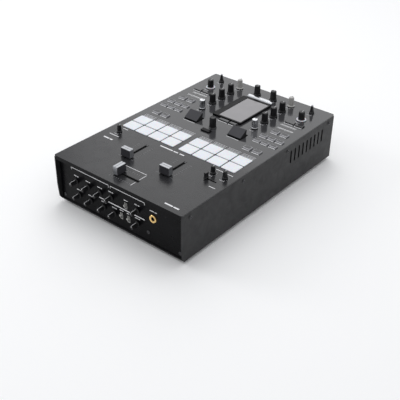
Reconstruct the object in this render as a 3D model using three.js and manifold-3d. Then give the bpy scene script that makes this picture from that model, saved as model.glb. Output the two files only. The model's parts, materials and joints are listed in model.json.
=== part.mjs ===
// A two-channel scratch mixer as a scene graph of named sub-parts.
// Millimetres, +Z up. X runs left to right, -Y faces the player, z = 0 is the table.
import * as THREE from 'three';
import { mergeVertices } from 'three/addons/utils/BufferGeometryUtils.js';
import Module from 'manifold-3d';

const wasm = await Module();
wasm.setup();

// ---- Driving dimensions -------------------------------------------------

const GAP = 0.3; // between pieces that touch or run in each other
const BODY_W = 262;
const BODY_D = 408;
const SIDE_X = BODY_W / 2;
const FRONT_Y = -BODY_D / 2;
const REAR_Y = BODY_D / 2;

const FOOT_H = 6;
const FOOT_R = 11;
const FOOT_INSET = { x: 24, y: 32 };
const SHEET = 1.5; // chassis sheet
const FLOOR_TOP = FOOT_H + SHEET;
const PLATE_TOP = 89;
const PLATE_T = 2.5;
const PLATE_UNDER = PLATE_TOP - PLATE_T;
const WALL_TOP = PLATE_UNDER - GAP;

const LIP_H = 7; // the plate's front edge, turned down
const FRONT_RECESS = 8; // front panel behind the plate's edge
const PANEL_T = 2.5;
const PANEL_HALF_W = SIDE_X - SHEET - GAP;
const FRONT_FACE = FRONT_Y + FRONT_RECESS;
const REAR_FACE = REAR_Y - 2;

const BOARD_TOP = 77.6;
const BOARD_T = 1.6;
const POST_TOP = 82.6; // under the pads
const SHAFT_END = 84;
const SHAFT_R = 3;
const ROOT_IN = 0.5; // how far a piece of a merged solid sinks into its neighbour
const CUT_LOW = 80; // heights between which the plate's openings are cut
const CUT_HIGH = 95;

// Performance pads: two banks of four by two
const PAD = { w: 26.5, d: 23.3, pitchX: 28.5, pitchY: 25.07, bankGap: 8.6, frontRow: -54 };
const PAD_RISE = 1.3;
const PAD_BOTTOM = 84.5;

// Columns of turning controls, mirrored about x = 0
const TONE_X = 56.3;
const OUTER_X = 99.1;
const TRIM_Y = 181;
const EQ_YS = [153, 126.5, 100];
const FILTER_Y = 71;
const SELECTOR_Y = 148;
const BROWSE = { x: 2, y: 27 };
const SEND_KNOBS = [{ x: -16, y: 179.5 }, { x: 19, y: 179.5 }];
const SMALL_KNOBS = [{ x: -106, y: -84 }, { x: 92.5, y: -86 }, { x: 115.5, y: -86 }];

// Faders
const CHANNEL_X = 40;
const CHANNEL_REST_Y = -133.5;
const CHANNEL_SLOT = [-140.5, -90];
const CROSS_Y = -176.5;
const CROSS_REST_X = -14.5;
const CROSS_SLOT = [-25, 25];
const CUE_Y = -104;
const CUE_REST_X = 94;
const CUE_SLOT = [91, 113];
const SLOT_W = 2.8;

// Effect paddles
const PADDLES = [{ side: -1, x: -44 }, { side: 1, x: 48.5 }];
const PADDLE_W = 26.4;
const PADDLE_PIVOT = { y: 33, z: 84 };
const PADDLE_BARREL_R = 3.4;

// Screen
const SCREEN_HOUSING = { x0: -29, x1: 32, y0: 64, y1: 156, rise: 3.6 };
const SCREEN_BAR = { x0: -24, x1: 28.5, y0: 159.5, y1: 170, rise: 4.6 };
const SCREEN = { x0: -16.5, x1: 29, y0: 68, y1: 150.5, depth: 1.6 };

// Push buttons of the rubber keypad: centre, width, depth
const SIDE_BUTTONS = [
  { x: 109.5, y: 126.5, w: 15, d: 8.5 },
  { x: 91, y: 126.5, w: 17.5, d: 8.5 },
  { x: 109.2, y: 82.5, w: 13, d: 9 },
  { x: 91, y: 82.5, w: 13, d: 9 },
  { x: 115.8, y: 59, w: 12.6, d: 7 },
  { x: 99.8, y: 59, w: 12.6, d: 7 },
  { x: 84.2, y: 59, w: 12.6, d: 7 },
  { x: 115.8, y: 40, w: 12.6, d: 7 },
  { x: 99.8, y: 40, w: 12.6, d: 7 },
  { x: 84.2, y: 40, w: 12.6, d: 7 },
  { x: 106.3, y: 9.5, w: 13.5, d: 9 },
  { x: 87.5, y: 9.5, w: 13.5, d: 9 },
];
const CENTRE_BUTTONS = [
  { x: 1, y: 59.6, w: 19, d: 6 },
  { x: 20, y: 59.6, w: 13.5, d: 6 },
];
const BUTTON_RISE = 2;
const MAT_T = 1.4;
const MAT_STRIP = { x: 99.5, y: 67.5, w: 50, d: 131 };
const MAT_BRIDGE = { halfW: 80, y0: 54, y1: 64 };

// Front panel controls that are nodes of their own
const FRONT_KNOBS = [{ name: 'front_knob_mix', x: 38, z: 54 }, { name: 'front_knob_level', x: 38, z: 30 }];
const FRONT_KNOB_REACH = 14;
const PHONES = { x: 70.5, z: 54, bore: 3.3, sleeve: 5.4, nut: 6.8, depth: 24 };

// Rear connectors
const JACK_BOARD_Y = 196;
const PHONO = { r: 4.2, reach: 8, hole: 1.7, xs: [24, 42, 60, 78], zs: [62, 40] };
const XLR = { r: 11.5, cavity: 9.2, depth: 12, xs: [-36, -6], z: 51 };
const USB = { w: 12, h: 11, cavityW: 8.6, cavityH: 7.8, depth: 9, x: 104, zs: [62, 40] };
const INLET = { x: -98, z: 50, w: 30, h: 22, cavityW: 24.5, cavityH: 16.5, depth: 15 };
const POWER = { x: -67, z: 50, w: 9, h: 14, rise: 5 };

// ---- Materials ----------------------------------------------------------

const MATERIALS = {
  plate: { color: 0x505054, roughness: 0.45, metalness: 0.6 },
  chassis: { color: 0x242427, roughness: 0.5, metalness: 0.6 },
  gloss: { color: 0x0c0c0f, roughness: 0.15, metalness: 0.0 },
  rubber: { color: 0x151517, roughness: 0.85, metalness: 0.0 },
  padWhite: { color: 0xdfe2e6, roughness: 0.5, metalness: 0.0 },
  knobBlack: { color: 0x131315, roughness: 0.7, metalness: 0.0 },
  knobGrey: { color: 0xb8b8b4, roughness: 0.5, metalness: 0.0 },
  chrome: { color: 0xc8cacc, roughness: 0.12, metalness: 1.0 },
  slate: { color: 0x46464b, roughness: 0.5, metalness: 0.1 },
  screen: { color: 0xa09ea0, roughness: 0.2, metalness: 0.0 },
  button: { color: 0x6d6d72, roughness: 0.6, metalness: 0.0 },
  board: { color: 0x1c4a30, roughness: 0.6, metalness: 0.0 },
  steel: { color: 0x9a9ca0, roughness: 0.35, metalness: 0.9 },
  brass: { color: 0xc9a25a, roughness: 0.3, metalness: 0.9 },
};

function material(slot) {
  return new THREE.MeshStandardMaterial(MATERIALS[slot]);
}

// ---- Solids -------------------------------------------------------------

function solid(geometry) {
  geometry.deleteAttribute('normal');
  geometry.deleteAttribute('uv');
  const merged = mergeVertices(geometry, 1e-4);
  const vertProperties = new Float32Array(merged.attributes.position.array);
  const triVerts = new Uint32Array(merged.index.array);
  return new wasm.Manifold(new wasm.Mesh({ numProp: 3, vertProperties, triVerts }));
}

function surface(body) {
  const mesh = body.getMesh();
  const geometry = new THREE.BufferGeometry();
  geometry.setAttribute('position', new THREE.BufferAttribute(mesh.vertProperties, 3));
  geometry.setIndex(new THREE.BufferAttribute(mesh.triVerts, 1));
  geometry.computeVertexNormals();
  return geometry;
}

function box(x0, x1, y0, y1, z0, z1) {
  const geometry = new THREE.BoxGeometry(x1 - x0, y1 - y0, z1 - z0);
  geometry.translate((x0 + x1) / 2, (y0 + y1) / 2, (z0 + z1) / 2);
  return solid(geometry);
}

function boxAt(x, y, w, d, z0, z1) {
  return box(x - w / 2, x + w / 2, y - d / 2, y + d / 2, z0, z1);
}

function post(x, y, r, z0, z1, sides = 16) {
  const geometry = new THREE.CylinderGeometry(r, r, z1 - z0, sides);
  geometry.rotateX(Math.PI / 2);
  geometry.translate(x, y, (z0 + z1) / 2);
  return solid(geometry);
}

function postAlongY(x, z, r, y0, y1, sides = 16) {
  const geometry = new THREE.CylinderGeometry(r, r, y1 - y0, sides);
  geometry.translate(x, (y0 + y1) / 2, z);
  return solid(geometry);
}

function roundedOutline(w, d, r) {
  const shape = new THREE.Shape();
  shape.moveTo(-w / 2 + r, -d / 2);
  shape.lineTo(w / 2 - r, -d / 2);
  shape.absarc(w / 2 - r, -d / 2 + r, r, -Math.PI / 2, 0, false);
  shape.lineTo(w / 2, d / 2 - r);
  shape.absarc(w / 2 - r, d / 2 - r, r, 0, Math.PI / 2, false);
  shape.lineTo(-w / 2 + r, d / 2);
  shape.absarc(-w / 2 + r, d / 2 - r, r, Math.PI / 2, Math.PI, false);
  shape.lineTo(-w / 2, -d / 2 + r);
  shape.absarc(-w / 2 + r, -d / 2 + r, r, Math.PI, Math.PI * 1.5, false);
  return shape;
}

function roundedSlab(x, y, w, d, r, z0, z1, cornerSteps = 3) {
  const options = { depth: z1 - z0, bevelEnabled: false, curveSegments: cornerSteps };
  const geometry = new THREE.ExtrudeGeometry(roundedOutline(w, d, r), options);
  geometry.translate(x, y, z0);
  return solid(geometry);
}

// A closed outline in the y-z plane, pushed out along x
function prismAlongX(outline, x0, x1) {
  const shape = new THREE.Shape(outline.map(([y, z]) => new THREE.Vector2(y, z)));
  const geometry = new THREE.ExtrudeGeometry(shape, { depth: x1 - x0, bevelEnabled: false });
  const axes = new THREE.Matrix4();
  axes.makeBasis(new THREE.Vector3(0, 1, 0), new THREE.Vector3(0, 0, 1), new THREE.Vector3(1, 0, 0));
  geometry.applyMatrix4(axes);
  geometry.translate(x0, 0, 0);
  return solid(geometry);
}

// A turned piece about +Z from pairs of radius and height
function turned(profile, sides = 16) {
  const points = profile.map(([r, z]) => new THREE.Vector2(r, z));
  const geometry = new THREE.LatheGeometry(points, sides);
  geometry.rotateX(Math.PI / 2);
  return solid(geometry);
}

function union(bodies) {
  return bodies.reduce((sum, body) => sum.add(body));
}

function cut(body, tools) {
  return body.subtract(union(tools));
}

function bothSides(list) {
  return [-1, 1].flatMap((side) => list.map((item) => ({ ...item, x: side * item.x, side })));
}

// ---- The assembly -------------------------------------------------------

const group = new THREE.Group();

function place(name, body, slot, x = 0, y = 0, z = 0) {
  const mesh = new THREE.Mesh(surface(body), material(slot));
  mesh.name = name;
  mesh.position.set(x, y, z);
  group.add(mesh);
  return mesh;
}

function sideName(side) {
  return side < 0 ? 'left' : 'right';
}

// Where every knob on the plate stands
function plateKnobs() {
  const column = (side) => [
    { kind: 'trim', name: `trim_knob_${sideName(side)}`, x: side * TONE_X, y: TRIM_Y },
    { kind: 'eq', name: `high_knob_${sideName(side)}`, x: side * TONE_X, y: EQ_YS[0] },
    { kind: 'eq', name: `mid_knob_${sideName(side)}`, x: side * TONE_X, y: EQ_YS[1] },
    { kind: 'eq', name: `low_knob_${sideName(side)}`, x: side * TONE_X, y: EQ_YS[2] },
    { kind: 'filter', name: `filter_knob_${sideName(side)}`, x: side * TONE_X, y: FILTER_Y },
    { kind: 'selector', name: `effect_selector_${sideName(side)}`, x: side * OUTER_X, y: SELECTOR_Y },
    { kind: 'thin', name: `input_selector_${sideName(side)}`, x: side * OUTER_X, y: TRIM_Y },
  ];
  return [
    ...column(-1),
    ...column(1),
    { kind: 'eq', name: 'send_knob', ...SEND_KNOBS[0] },
    { kind: 'eq', name: 'master_knob', ...SEND_KNOBS[1] },
    { kind: 'browse', name: 'browse_knob', ...BROWSE },
    { kind: 'small', name: 'mic_knob', ...SMALL_KNOBS[0] },
    { kind: 'small', name: 'booth_knob', ...SMALL_KNOBS[1] },
    { kind: 'small', name: 'phones_knob', ...SMALL_KNOBS[2] },
  ];
}

// Radius and height above the plate, from the shaft's end up to the crown
const KNOB_PROFILES = {
  eq: [[6.4, 0.6], [6.4, 2.4], [5.7, 3.2], [5.15, 17.8], [4.5, 18.5]],
  trim: [[6.3, 0.6], [6.3, 1.8], [5.1, 2.8], [4.4, 16.4], [3.4, 17.8]],
  filter: [[5.8, 0.6], [5.8, 2], [5.3, 2.6], [5, 16.8], [4, 17.6]],
  selector: [[8.7, 0.6], [8.7, 1.6], [5.7, 2.4], [5.2, 15.4], [4.6, 16]],
  thin: [[4.8, 0.6], [4.8, 2], [3.8, 3.4], [1.9, 14.8], [1.4, 15.6]],
  browse: [[6.6, 0.6], [6.6, 2.2], [5.8, 3], [5.5, 19.2], [4.7, 20]],
  small: [[4.6, 0.6], [4.6, 2], [3.8, 2.8], [3.3, 12.4], [2.8, 13]],
};
const KNOB_COLOURS = {
  eq: 'knobBlack',
  trim: 'knobGrey',
  filter: 'chrome',
  selector: 'knobBlack',
  thin: 'knobBlack',
  browse: 'knobBlack',
  small: 'knobBlack',
};
const POINTER = { w: 0.9, rise: 0.5 };

function knobBody(kind) {
  const skin = KNOB_PROFILES[kind];
  const crown = skin[skin.length - 1];
  const foot = SHAFT_END - PLATE_TOP;
  const shaft = [[0, foot], [SHAFT_R, foot], [SHAFT_R, skin[0][1]]];
  const body = turned([...shaft, ...skin, [0, crown[1]]]);
  const pointer = box(-POINTER.w / 2, POINTER.w / 2, 0, crown[0] - 0.2, crown[1] - 0.5, crown[1] + POINTER.rise);
  return body.add(pointer);
}

function addKnobs() {
  const bodies = {};
  for (const kind of Object.keys(KNOB_PROFILES)) {
    bodies[kind] = knobBody(kind);
  }
  for (const knob of plateKnobs()) {
    place(knob.name, bodies[knob.kind], KNOB_COLOURS[knob.kind], knob.x, knob.y, PLATE_TOP);
  }
}

// Where every pad stands, numbered from the front row's outer left corner
function padPlaces() {
  const places = [];
  for (const side of [-1, 1]) {
    for (let row = 0; row < 2; row += 1) {
      for (let column = 0; column < 4; column += 1) {
        const fromLeft = side < 0 ? 3 - column : column;
        const x = side * (PAD.bankGap / 2 + PAD.pitchX * (fromLeft + 0.5));
        const name = `pad_${sideName(side)}_${row * 4 + column + 1}`;
        places.push({ name, x, y: PAD.frontRow + row * PAD.pitchY });
      }
    }
  }
  return places;
}

function addPads() {
  const top = PLATE_TOP + PAD_RISE;
  const cap = roundedSlab(0, 0, PAD.w, PAD.d, 1.6, PAD_BOTTOM, top - 0.5, 2);
  const face = roundedSlab(0, 0, PAD.w - 1, PAD.d - 1, 1.3, PAD_BOTTOM, top, 2);
  const body = cap.add(face);
  for (const pad of padPlaces()) {
    place(pad.name, body, 'padWhite', pad.x, pad.y, 0);
  }
}

// ---- Plate, panels and tray ---------------------------------------------

function slotTools() {
  const tools = [-1, 1].map((side) => {
    const middle = (CHANNEL_SLOT[0] + CHANNEL_SLOT[1]) / 2;
    return boxAt(side * CHANNEL_X, middle, SLOT_W, CHANNEL_SLOT[1] - CHANNEL_SLOT[0], CUT_LOW, CUT_HIGH);
  });
  tools.push(box(CROSS_SLOT[0], CROSS_SLOT[1], CROSS_Y - SLOT_W / 2, CROSS_Y + SLOT_W / 2, CUT_LOW, CUT_HIGH));
  tools.push(box(CUE_SLOT[0], CUE_SLOT[1], CUE_Y - SLOT_W / 2, CUE_Y + SLOT_W / 2, CUT_LOW, CUT_HIGH));
  return tools;
}

const PADDLE_WINDOW = { w: PADDLE_W + 1.6, y0: 22.5, y1: 45 };

function addTopPlate() {
  const slab = roundedSlab(0, 0, BODY_W, BODY_D, 3, PLATE_UNDER, PLATE_TOP, 4);
  const lip = box(-PANEL_HALF_W, PANEL_HALF_W, FRONT_Y, FRONT_Y + SHEET, PLATE_TOP - LIP_H, PLATE_UNDER + 1);
  const plate = slab.add(lip);
  const tools = slotTools();
  for (const pad of padPlaces()) {
    tools.push(roundedSlab(pad.x, pad.y, PAD.w + 2 * GAP, PAD.d + 2 * GAP, 1.2, CUT_LOW, CUT_HIGH, 1));
  }
  for (const knob of plateKnobs()) {
    tools.push(post(knob.x, knob.y, SHAFT_R + 0.5, CUT_LOW, CUT_HIGH, 12));
  }
  for (const button of [...bothSides(SIDE_BUTTONS), ...CENTRE_BUTTONS]) {
    tools.push(boxAt(button.x, button.y, button.w + 2 * GAP, button.d + 2 * GAP, CUT_LOW, CUT_HIGH));
  }
  for (const paddle of PADDLES) {
    const middle = (PADDLE_WINDOW.y0 + PADDLE_WINDOW.y1) / 2;
    const depth = PADDLE_WINDOW.y1 - PADDLE_WINDOW.y0;
    tools.push(boxAt(paddle.x, middle, PADDLE_WINDOW.w, depth, CUT_LOW, CUT_HIGH));
  }
  place('top_plate', cut(plate, tools), 'plate');
}

function addKeypad() {
  const top = WALL_TOP;
  const bottom = top - MAT_T;
  const strip = MAT_STRIP;
  const strips = [-1, 1].map((side) => boxAt(side * strip.x, strip.y, strip.w, strip.d, bottom, top));
  const bridge = box(-MAT_BRIDGE.halfW, MAT_BRIDGE.halfW, MAT_BRIDGE.y0, MAT_BRIDGE.y1, bottom, top);
  const caps = [...bothSides(SIDE_BUTTONS), ...CENTRE_BUTTONS].map((button) =>
    boxAt(button.x, button.y, button.w, button.d, bottom, PLATE_TOP + BUTTON_RISE));
  place('button_keypad', union([...strips, bridge, ...caps]), 'button');
}

function addChassis() {
  const foot = FRONT_Y + 6;
  const brow = FRONT_Y + 0.2;
  const floor = box(-SIDE_X, SIDE_X, foot, REAR_Y, FOOT_H, FLOOR_TOP);
  const cheek = [
    [foot, FOOT_H],
    [REAR_Y, FOOT_H],
    [REAR_Y, WALL_TOP],
    [brow, WALL_TOP],
    [brow, WALL_TOP - 52],
    [FRONT_Y + 2, FOOT_H + 6],
  ];
  const left = prismAlongX(cheek, -SIDE_X, -SIDE_X + SHEET);
  const right = prismAlongX(cheek, SIDE_X - SHEET, SIDE_X);
  place('chassis', union([floor, left, right]), 'chassis');
}

function addFrontPanel() {
  const bottom = FLOOR_TOP + GAP;
  const panel = box(-PANEL_HALF_W, PANEL_HALF_W, FRONT_FACE, FRONT_FACE + PANEL_T, bottom, WALL_TOP);
  const far = FRONT_FACE + PANEL_T + 5;
  const tools = FRONT_KNOBS.map((knob) => postAlongY(knob.x, knob.z, SHAFT_R + 0.5, FRONT_FACE - 5, far, 14));
  tools.push(postAlongY(PHONES.x, PHONES.z, PHONES.sleeve + GAP, FRONT_FACE - 5, far, 20));
  place('front_panel', cut(panel, tools), 'gloss');
}

function addFrontKnobs() {
  const reach = FRONT_KNOB_REACH;
  const shaft = [[0, -7], [SHAFT_R, -7], [SHAFT_R, 0.6]];
  const skin = [[4.6, 0.6], [4.6, 2], [3.9, 2.8], [3.4, reach - 0.6], [2.9, reach], [0, reach]];
  const body = turned([...shaft, ...skin], 18);
  for (const knob of FRONT_KNOBS) {
    const mesh = place(knob.name, body, 'knobBlack', knob.x, FRONT_FACE, knob.z);
    mesh.rotation.x = Math.PI / 2; // turned about +Z, so it now stands out along -Y
  }
}

function addHeadphoneJack() {
  const mouth = FRONT_FACE - GAP - 2;
  const nut = postAlongY(PHONES.x, PHONES.z, PHONES.nut, mouth, FRONT_FACE - GAP, 6);
  const sleeve = postAlongY(PHONES.x, PHONES.z, PHONES.sleeve, mouth, mouth + PHONES.depth + 4, 20);
  const bore = postAlongY(PHONES.x, PHONES.z, PHONES.bore, mouth - 1, mouth + PHONES.depth, 20);
  place('headphone_jack', cut(nut.add(sleeve), [bore]), 'brass');
}

// ---- Screen -------------------------------------------------------------

function addScreen() {
  const base = PLATE_TOP + GAP;
  const top = PLATE_TOP + SCREEN_HOUSING.rise;
  const h = SCREEN_HOUSING;
  const slab = roundedSlab((h.x0 + h.x1) / 2, (h.y0 + h.y1) / 2, h.x1 - h.x0, h.y1 - h.y0, 3, base, top);
  const neck = box(SCREEN_BAR.x0 + 2, SCREEN_BAR.x1 - 2, h.y1 - 5, SCREEN_BAR.y1 - 2, base, base + 2);
  const barOutline = [];
  const middle = (SCREEN_BAR.y0 + SCREEN_BAR.y1) / 2;
  const half = (SCREEN_BAR.y1 - SCREEN_BAR.y0) / 2;
  for (let step = 0; step <= 8; step += 1) {
    const angle = (Math.PI * step) / 8;
    const height = base + 2 + (SCREEN_BAR.rise - 2.3) * Math.sin(angle);
    barOutline.push([middle + half * Math.cos(angle), height]);
  }
  barOutline.push([SCREEN_BAR.y0, base], [SCREEN_BAR.y1, base]);
  const bar = prismAlongX(barOutline, SCREEN_BAR.x0, SCREEN_BAR.x1);
  const s = SCREEN;
  const pocket = box(s.x0 - GAP, s.x1 + GAP, s.y0 - GAP, s.y1 + GAP, top - s.depth - GAP, top + 5);
  place('screen_housing', cut(union([slab, neck, bar]), [pocket]), 'gloss');
  place('screen_glass', box(s.x0, s.x1, s.y0, s.y1, top - s.depth, top - 0.2), 'screen');
}

// ---- Faders and paddles -------------------------------------------------

const FADER_CAP = { long: 19.5, short: 10, rise: 15, foot: 1.2 };
const CUE_CAP = { w: 5, d: 8.5, foot: 1, rise: 11 };
const STEM = { t: 1.8, w: 4, end: 80.4 };

// A waisted cap with a grooved top, for travel along y
function faderCap() {
  const low = PLATE_TOP + FADER_CAP.foot;
  const high = PLATE_TOP + FADER_CAP.rise;
  const half = FADER_CAP.short / 2;
  const side = [
    [half, low],
    [half, low + 2],
    [half - 0.6, low + 7],
    [half - 0.4, high - 1],
    [half - 0.9, high],
    [0.6, high],
  ];
  const mirrored = side.map(([y, z]) => [-y, z]).reverse();
  const outline = [...side, [0, high - 0.7], ...mirrored];
  const body = prismAlongX(outline, -FADER_CAP.long / 2, FADER_CAP.long / 2);
  return body.add(box(-STEM.t / 2, STEM.t / 2, -STEM.w / 2, STEM.w / 2, STEM.end, low + 1));
}

function addFaders() {
  const cap = faderCap();
  for (const side of [-1, 1]) {
    place(`channel_fader_${sideName(side)}`, cap, 'slate', side * CHANNEL_X, CHANNEL_REST_Y, 0);
  }
  const cross = place('crossfader', cap, 'slate', CROSS_REST_X, CROSS_Y, 0);
  cross.rotation.z = Math.PI / 2;
  const cueCap = boxAt(0, 0, CUE_CAP.w, CUE_CAP.d, PLATE_TOP + CUE_CAP.foot, PLATE_TOP + CUE_CAP.rise);
  const cueStem = boxAt(0, 0, 3, STEM.t, SHAFT_END, PLATE_TOP + CUE_CAP.foot + 1);
  place('cue_slider', cueCap.add(cueStem), 'knobBlack', CUE_REST_X, CUE_Y, 0);
}

function paddleOutline() {
  const p = PADDLE_PIVOT;
  const outline = [];
  for (let step = 0; step <= 6; step += 1) {
    const angle = Math.PI + (Math.PI * step) / 6;
    outline.push([p.y + PADDLE_BARREL_R * Math.cos(angle), p.z + PADDLE_BARREL_R * Math.sin(angle)]);
  }
  const sill = PLATE_TOP + 1.2;
  return [
    ...outline,
    [p.y + PADDLE_BARREL_R, sill],
    [p.y + 7, sill],
    [p.y + 8.6, PLATE_TOP + 11],
    [p.y + 7.2, PLATE_TOP + 12],
    [p.y - 9, PLATE_TOP + 2.2],
    [p.y - 9, sill],
    [p.y - PADDLE_BARREL_R, sill],
  ];
}

function addPaddles() {
  const body = prismAlongX(paddleOutline(), -PADDLE_W / 2, PADDLE_W / 2);
  for (const paddle of PADDLES) {
    place(`effect_paddle_${sideName(paddle.side)}`, body, 'slate', paddle.x, 0, 0);
  }
}

// ---- Inside -------------------------------------------------------------

function faderTrack(x, y, length, alongX) {
  const w = 13;
  const slot = 3.2;
  const top = SHAFT_END;
  const outer = alongX
    ? boxAt(x, y, length + 8, w, BOARD_TOP - ROOT_IN, top)
    : boxAt(x, y, w, length + 8, BOARD_TOP - ROOT_IN, top);
  const groove = alongX
    ? boxAt(x, y, length + 1, slot, STEM.end - 1, top + 2)
    : boxAt(x, y, slot, length + 1, STEM.end - 1, top + 2);
  return cut(outer, [groove]);
}

const BOARD = { halfW: 124, y0: -190, y1: 188 };
const SPACERS = { x: 121, ys: [-186, -5, 184], w: 5 }; // hold the board under the plate
const PAD_SWITCH = 7;
const ROTARY = 10;
const TRACK = 52;

function addControlBoard() {
  const bottom = BOARD_TOP - BOARD_T;
  const root = BOARD_TOP - ROOT_IN;
  const pieces = [box(-BOARD.halfW, BOARD.halfW, BOARD.y0, BOARD.y1, bottom, BOARD_TOP)];
  for (const pad of padPlaces()) {
    pieces.push(boxAt(pad.x, pad.y, PAD_SWITCH, PAD_SWITCH, root, POST_TOP));
  }
  for (const knob of plateKnobs()) {
    pieces.push(boxAt(knob.x, knob.y, ROTARY, ROTARY, root, SHAFT_END - GAP));
  }
  for (const paddle of PADDLES) {
    const under = PADDLE_PIVOT.z - PADDLE_BARREL_R - GAP;
    pieces.push(boxAt(paddle.x, PADDLE_PIVOT.y, 12, 8, root, under));
  }
  for (const side of [-1, 1]) {
    pieces.push(faderTrack(side * CHANNEL_X, (CHANNEL_SLOT[0] + CHANNEL_SLOT[1]) / 2, TRACK, false));
    for (const y of SPACERS.ys) {
      pieces.push(boxAt(side * SPACERS.x, y, SPACERS.w, SPACERS.w, root, WALL_TOP));
    }
  }
  pieces.push(faderTrack(0, CROSS_Y, TRACK, true));
  pieces.push(boxAt((CUE_SLOT[0] + CUE_SLOT[1]) / 2, CUE_Y, 26, 9, root, SHAFT_END - GAP));
  place('control_board', union(pieces), 'board');
}

const SUPPLY_CAN = { x0: -120, x1: -50, y0: 92, y1: 176, top: 44 };
const TRANSFORMER = { x0: -108, x1: -74, y0: 104, y1: 144, top: 58 };

function addPowerSupply() {
  const bottom = FLOOR_TOP + GAP;
  const c = SUPPLY_CAN;
  const t = TRANSFORMER;
  const can = box(c.x0, c.x1, c.y0, c.y1, bottom, c.top);
  const transformer = box(t.x0, t.x1, t.y0, t.y1, bottom, t.top);
  place('power_supply', can.add(transformer), 'steel');
}

// ---- Rear ---------------------------------------------------------------

function addRearPanel() {
  const bottom = FLOOR_TOP + GAP;
  const panel = box(-PANEL_HALF_W, PANEL_HALF_W, REAR_FACE - 2, REAR_FACE, bottom, WALL_TOP);
  const near = REAR_FACE - 6;
  const far = REAR_FACE + 6;
  const tools = [];
  for (const x of PHONO.xs) {
    for (const z of PHONO.zs) {
      tools.push(postAlongY(x, z, PHONO.r + GAP, near, far, 14));
    }
  }
  for (const x of XLR.xs) {
    tools.push(postAlongY(x, XLR.z, XLR.r + GAP, near, far, 24));
  }
  for (const z of USB.zs) {
    tools.push(boxAroundY(USB.x, z, USB.w + 2 * GAP, USB.h + 2 * GAP, near, far));
  }
  tools.push(boxAroundY(INLET.x, INLET.z, INLET.w + 2 * GAP, INLET.h + 2 * GAP, near, far));
  tools.push(boxAroundY(POWER.x, POWER.z, POWER.w + 2 * GAP, POWER.h + 2 * GAP, near, far));
  place('rear_panel', cut(panel, tools), 'chassis');
}

function boxAroundY(x, z, w, h, y0, y1) {
  return box(x - w / 2, x + w / 2, y0, y1, z - h / 2, z + h / 2);
}

function addRearSockets() {
  const y0 = JACK_BOARD_Y;
  const flush = REAR_Y - 0.5;
  const pieces = [box(-120, 120, y0, y0 + BOARD_T, 24, 74)];
  const holes = [boxAroundY(POWER.x, POWER.z, POWER.w + 2, POWER.h + 2, y0 - 5, REAR_Y)];
  for (const x of PHONO.xs) {
    for (const z of PHONO.zs) {
      pieces.push(postAlongY(x, z, PHONO.r, y0 + 1, REAR_FACE + PHONO.reach, 14));
      holes.push(postAlongY(x, z, PHONO.hole, REAR_FACE, REAR_FACE + PHONO.reach + 2, 8));
    }
  }
  for (const x of XLR.xs) {
    pieces.push(postAlongY(x, XLR.z, XLR.r, flush - XLR.depth - 2, flush, 24));
    holes.push(postAlongY(x, XLR.z, XLR.cavity, flush - XLR.depth, flush + 2, 24));
  }
  for (const z of USB.zs) {
    pieces.push(boxAroundY(USB.x, z, USB.w, USB.h, flush - USB.depth - 2, flush));
    holes.push(boxAroundY(USB.x, z, USB.cavityW, USB.cavityH, flush - USB.depth, flush + 2));
  }
  pieces.push(boxAroundY(INLET.x, INLET.z, INLET.w, INLET.h, flush - INLET.depth - 2, flush));
  holes.push(boxAroundY(INLET.x, INLET.z, INLET.cavityW, INLET.cavityH, flush - INLET.depth, flush + 2));
  place('rear_sockets', cut(union(pieces), holes), 'gloss');
}

function addPowerButton() {
  const y0 = JACK_BOARD_Y + 1;
  const button = boxAroundY(POWER.x, POWER.z, POWER.w, POWER.h, y0, REAR_FACE + POWER.rise);
  place('power_button', button, 'knobBlack');
}

function addFeet() {
  const foot = turned([[0, 0], [FOOT_R - 1.5, 0], [FOOT_R, FOOT_H - GAP], [0, FOOT_H - GAP]]);
  for (const [along, y] of [['front', FRONT_Y + FOOT_INSET.y], ['rear', REAR_Y - FOOT_INSET.y]]) {
    for (const side of [-1, 1]) {
      place(`foot_${along}_${sideName(side)}`, foot, 'rubber', side * (SIDE_X - FOOT_INSET.x), y, 0);
    }
  }
}

addChassis();
addTopPlate();
addFrontPanel();
addRearPanel();
addKeypad();
addScreen();
addPads();
addKnobs();
addFaders();
addPaddles();
addFrontKnobs();
addHeadphoneJack();
addControlBoard();
addPowerSupply();
addRearSockets();
addPowerButton();
addFeet();

export default group;
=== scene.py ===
"""Looks of a two-channel scratch mixer, modelled around its CAD frame."""

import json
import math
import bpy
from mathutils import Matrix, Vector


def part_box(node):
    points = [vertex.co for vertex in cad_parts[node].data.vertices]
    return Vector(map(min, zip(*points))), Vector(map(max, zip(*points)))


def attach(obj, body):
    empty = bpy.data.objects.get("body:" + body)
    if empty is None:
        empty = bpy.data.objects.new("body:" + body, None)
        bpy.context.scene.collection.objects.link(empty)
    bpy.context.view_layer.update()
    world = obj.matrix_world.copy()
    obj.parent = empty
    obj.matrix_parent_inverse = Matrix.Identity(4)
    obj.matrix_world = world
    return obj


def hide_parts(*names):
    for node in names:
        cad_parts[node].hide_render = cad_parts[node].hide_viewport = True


bl_info = {
    "name": "Scratch Mixer",
    "version": (1, 0, 0),
    "blender": (4, 5, 0),
    "location": "View3D > Sidebar > Mixer",
    "description": "Models the visible pieces and finishes of a scratch mixer on its CAD frame",
    "category": "Object",
}

import bpy
from mathutils import Matrix, Vector

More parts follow.
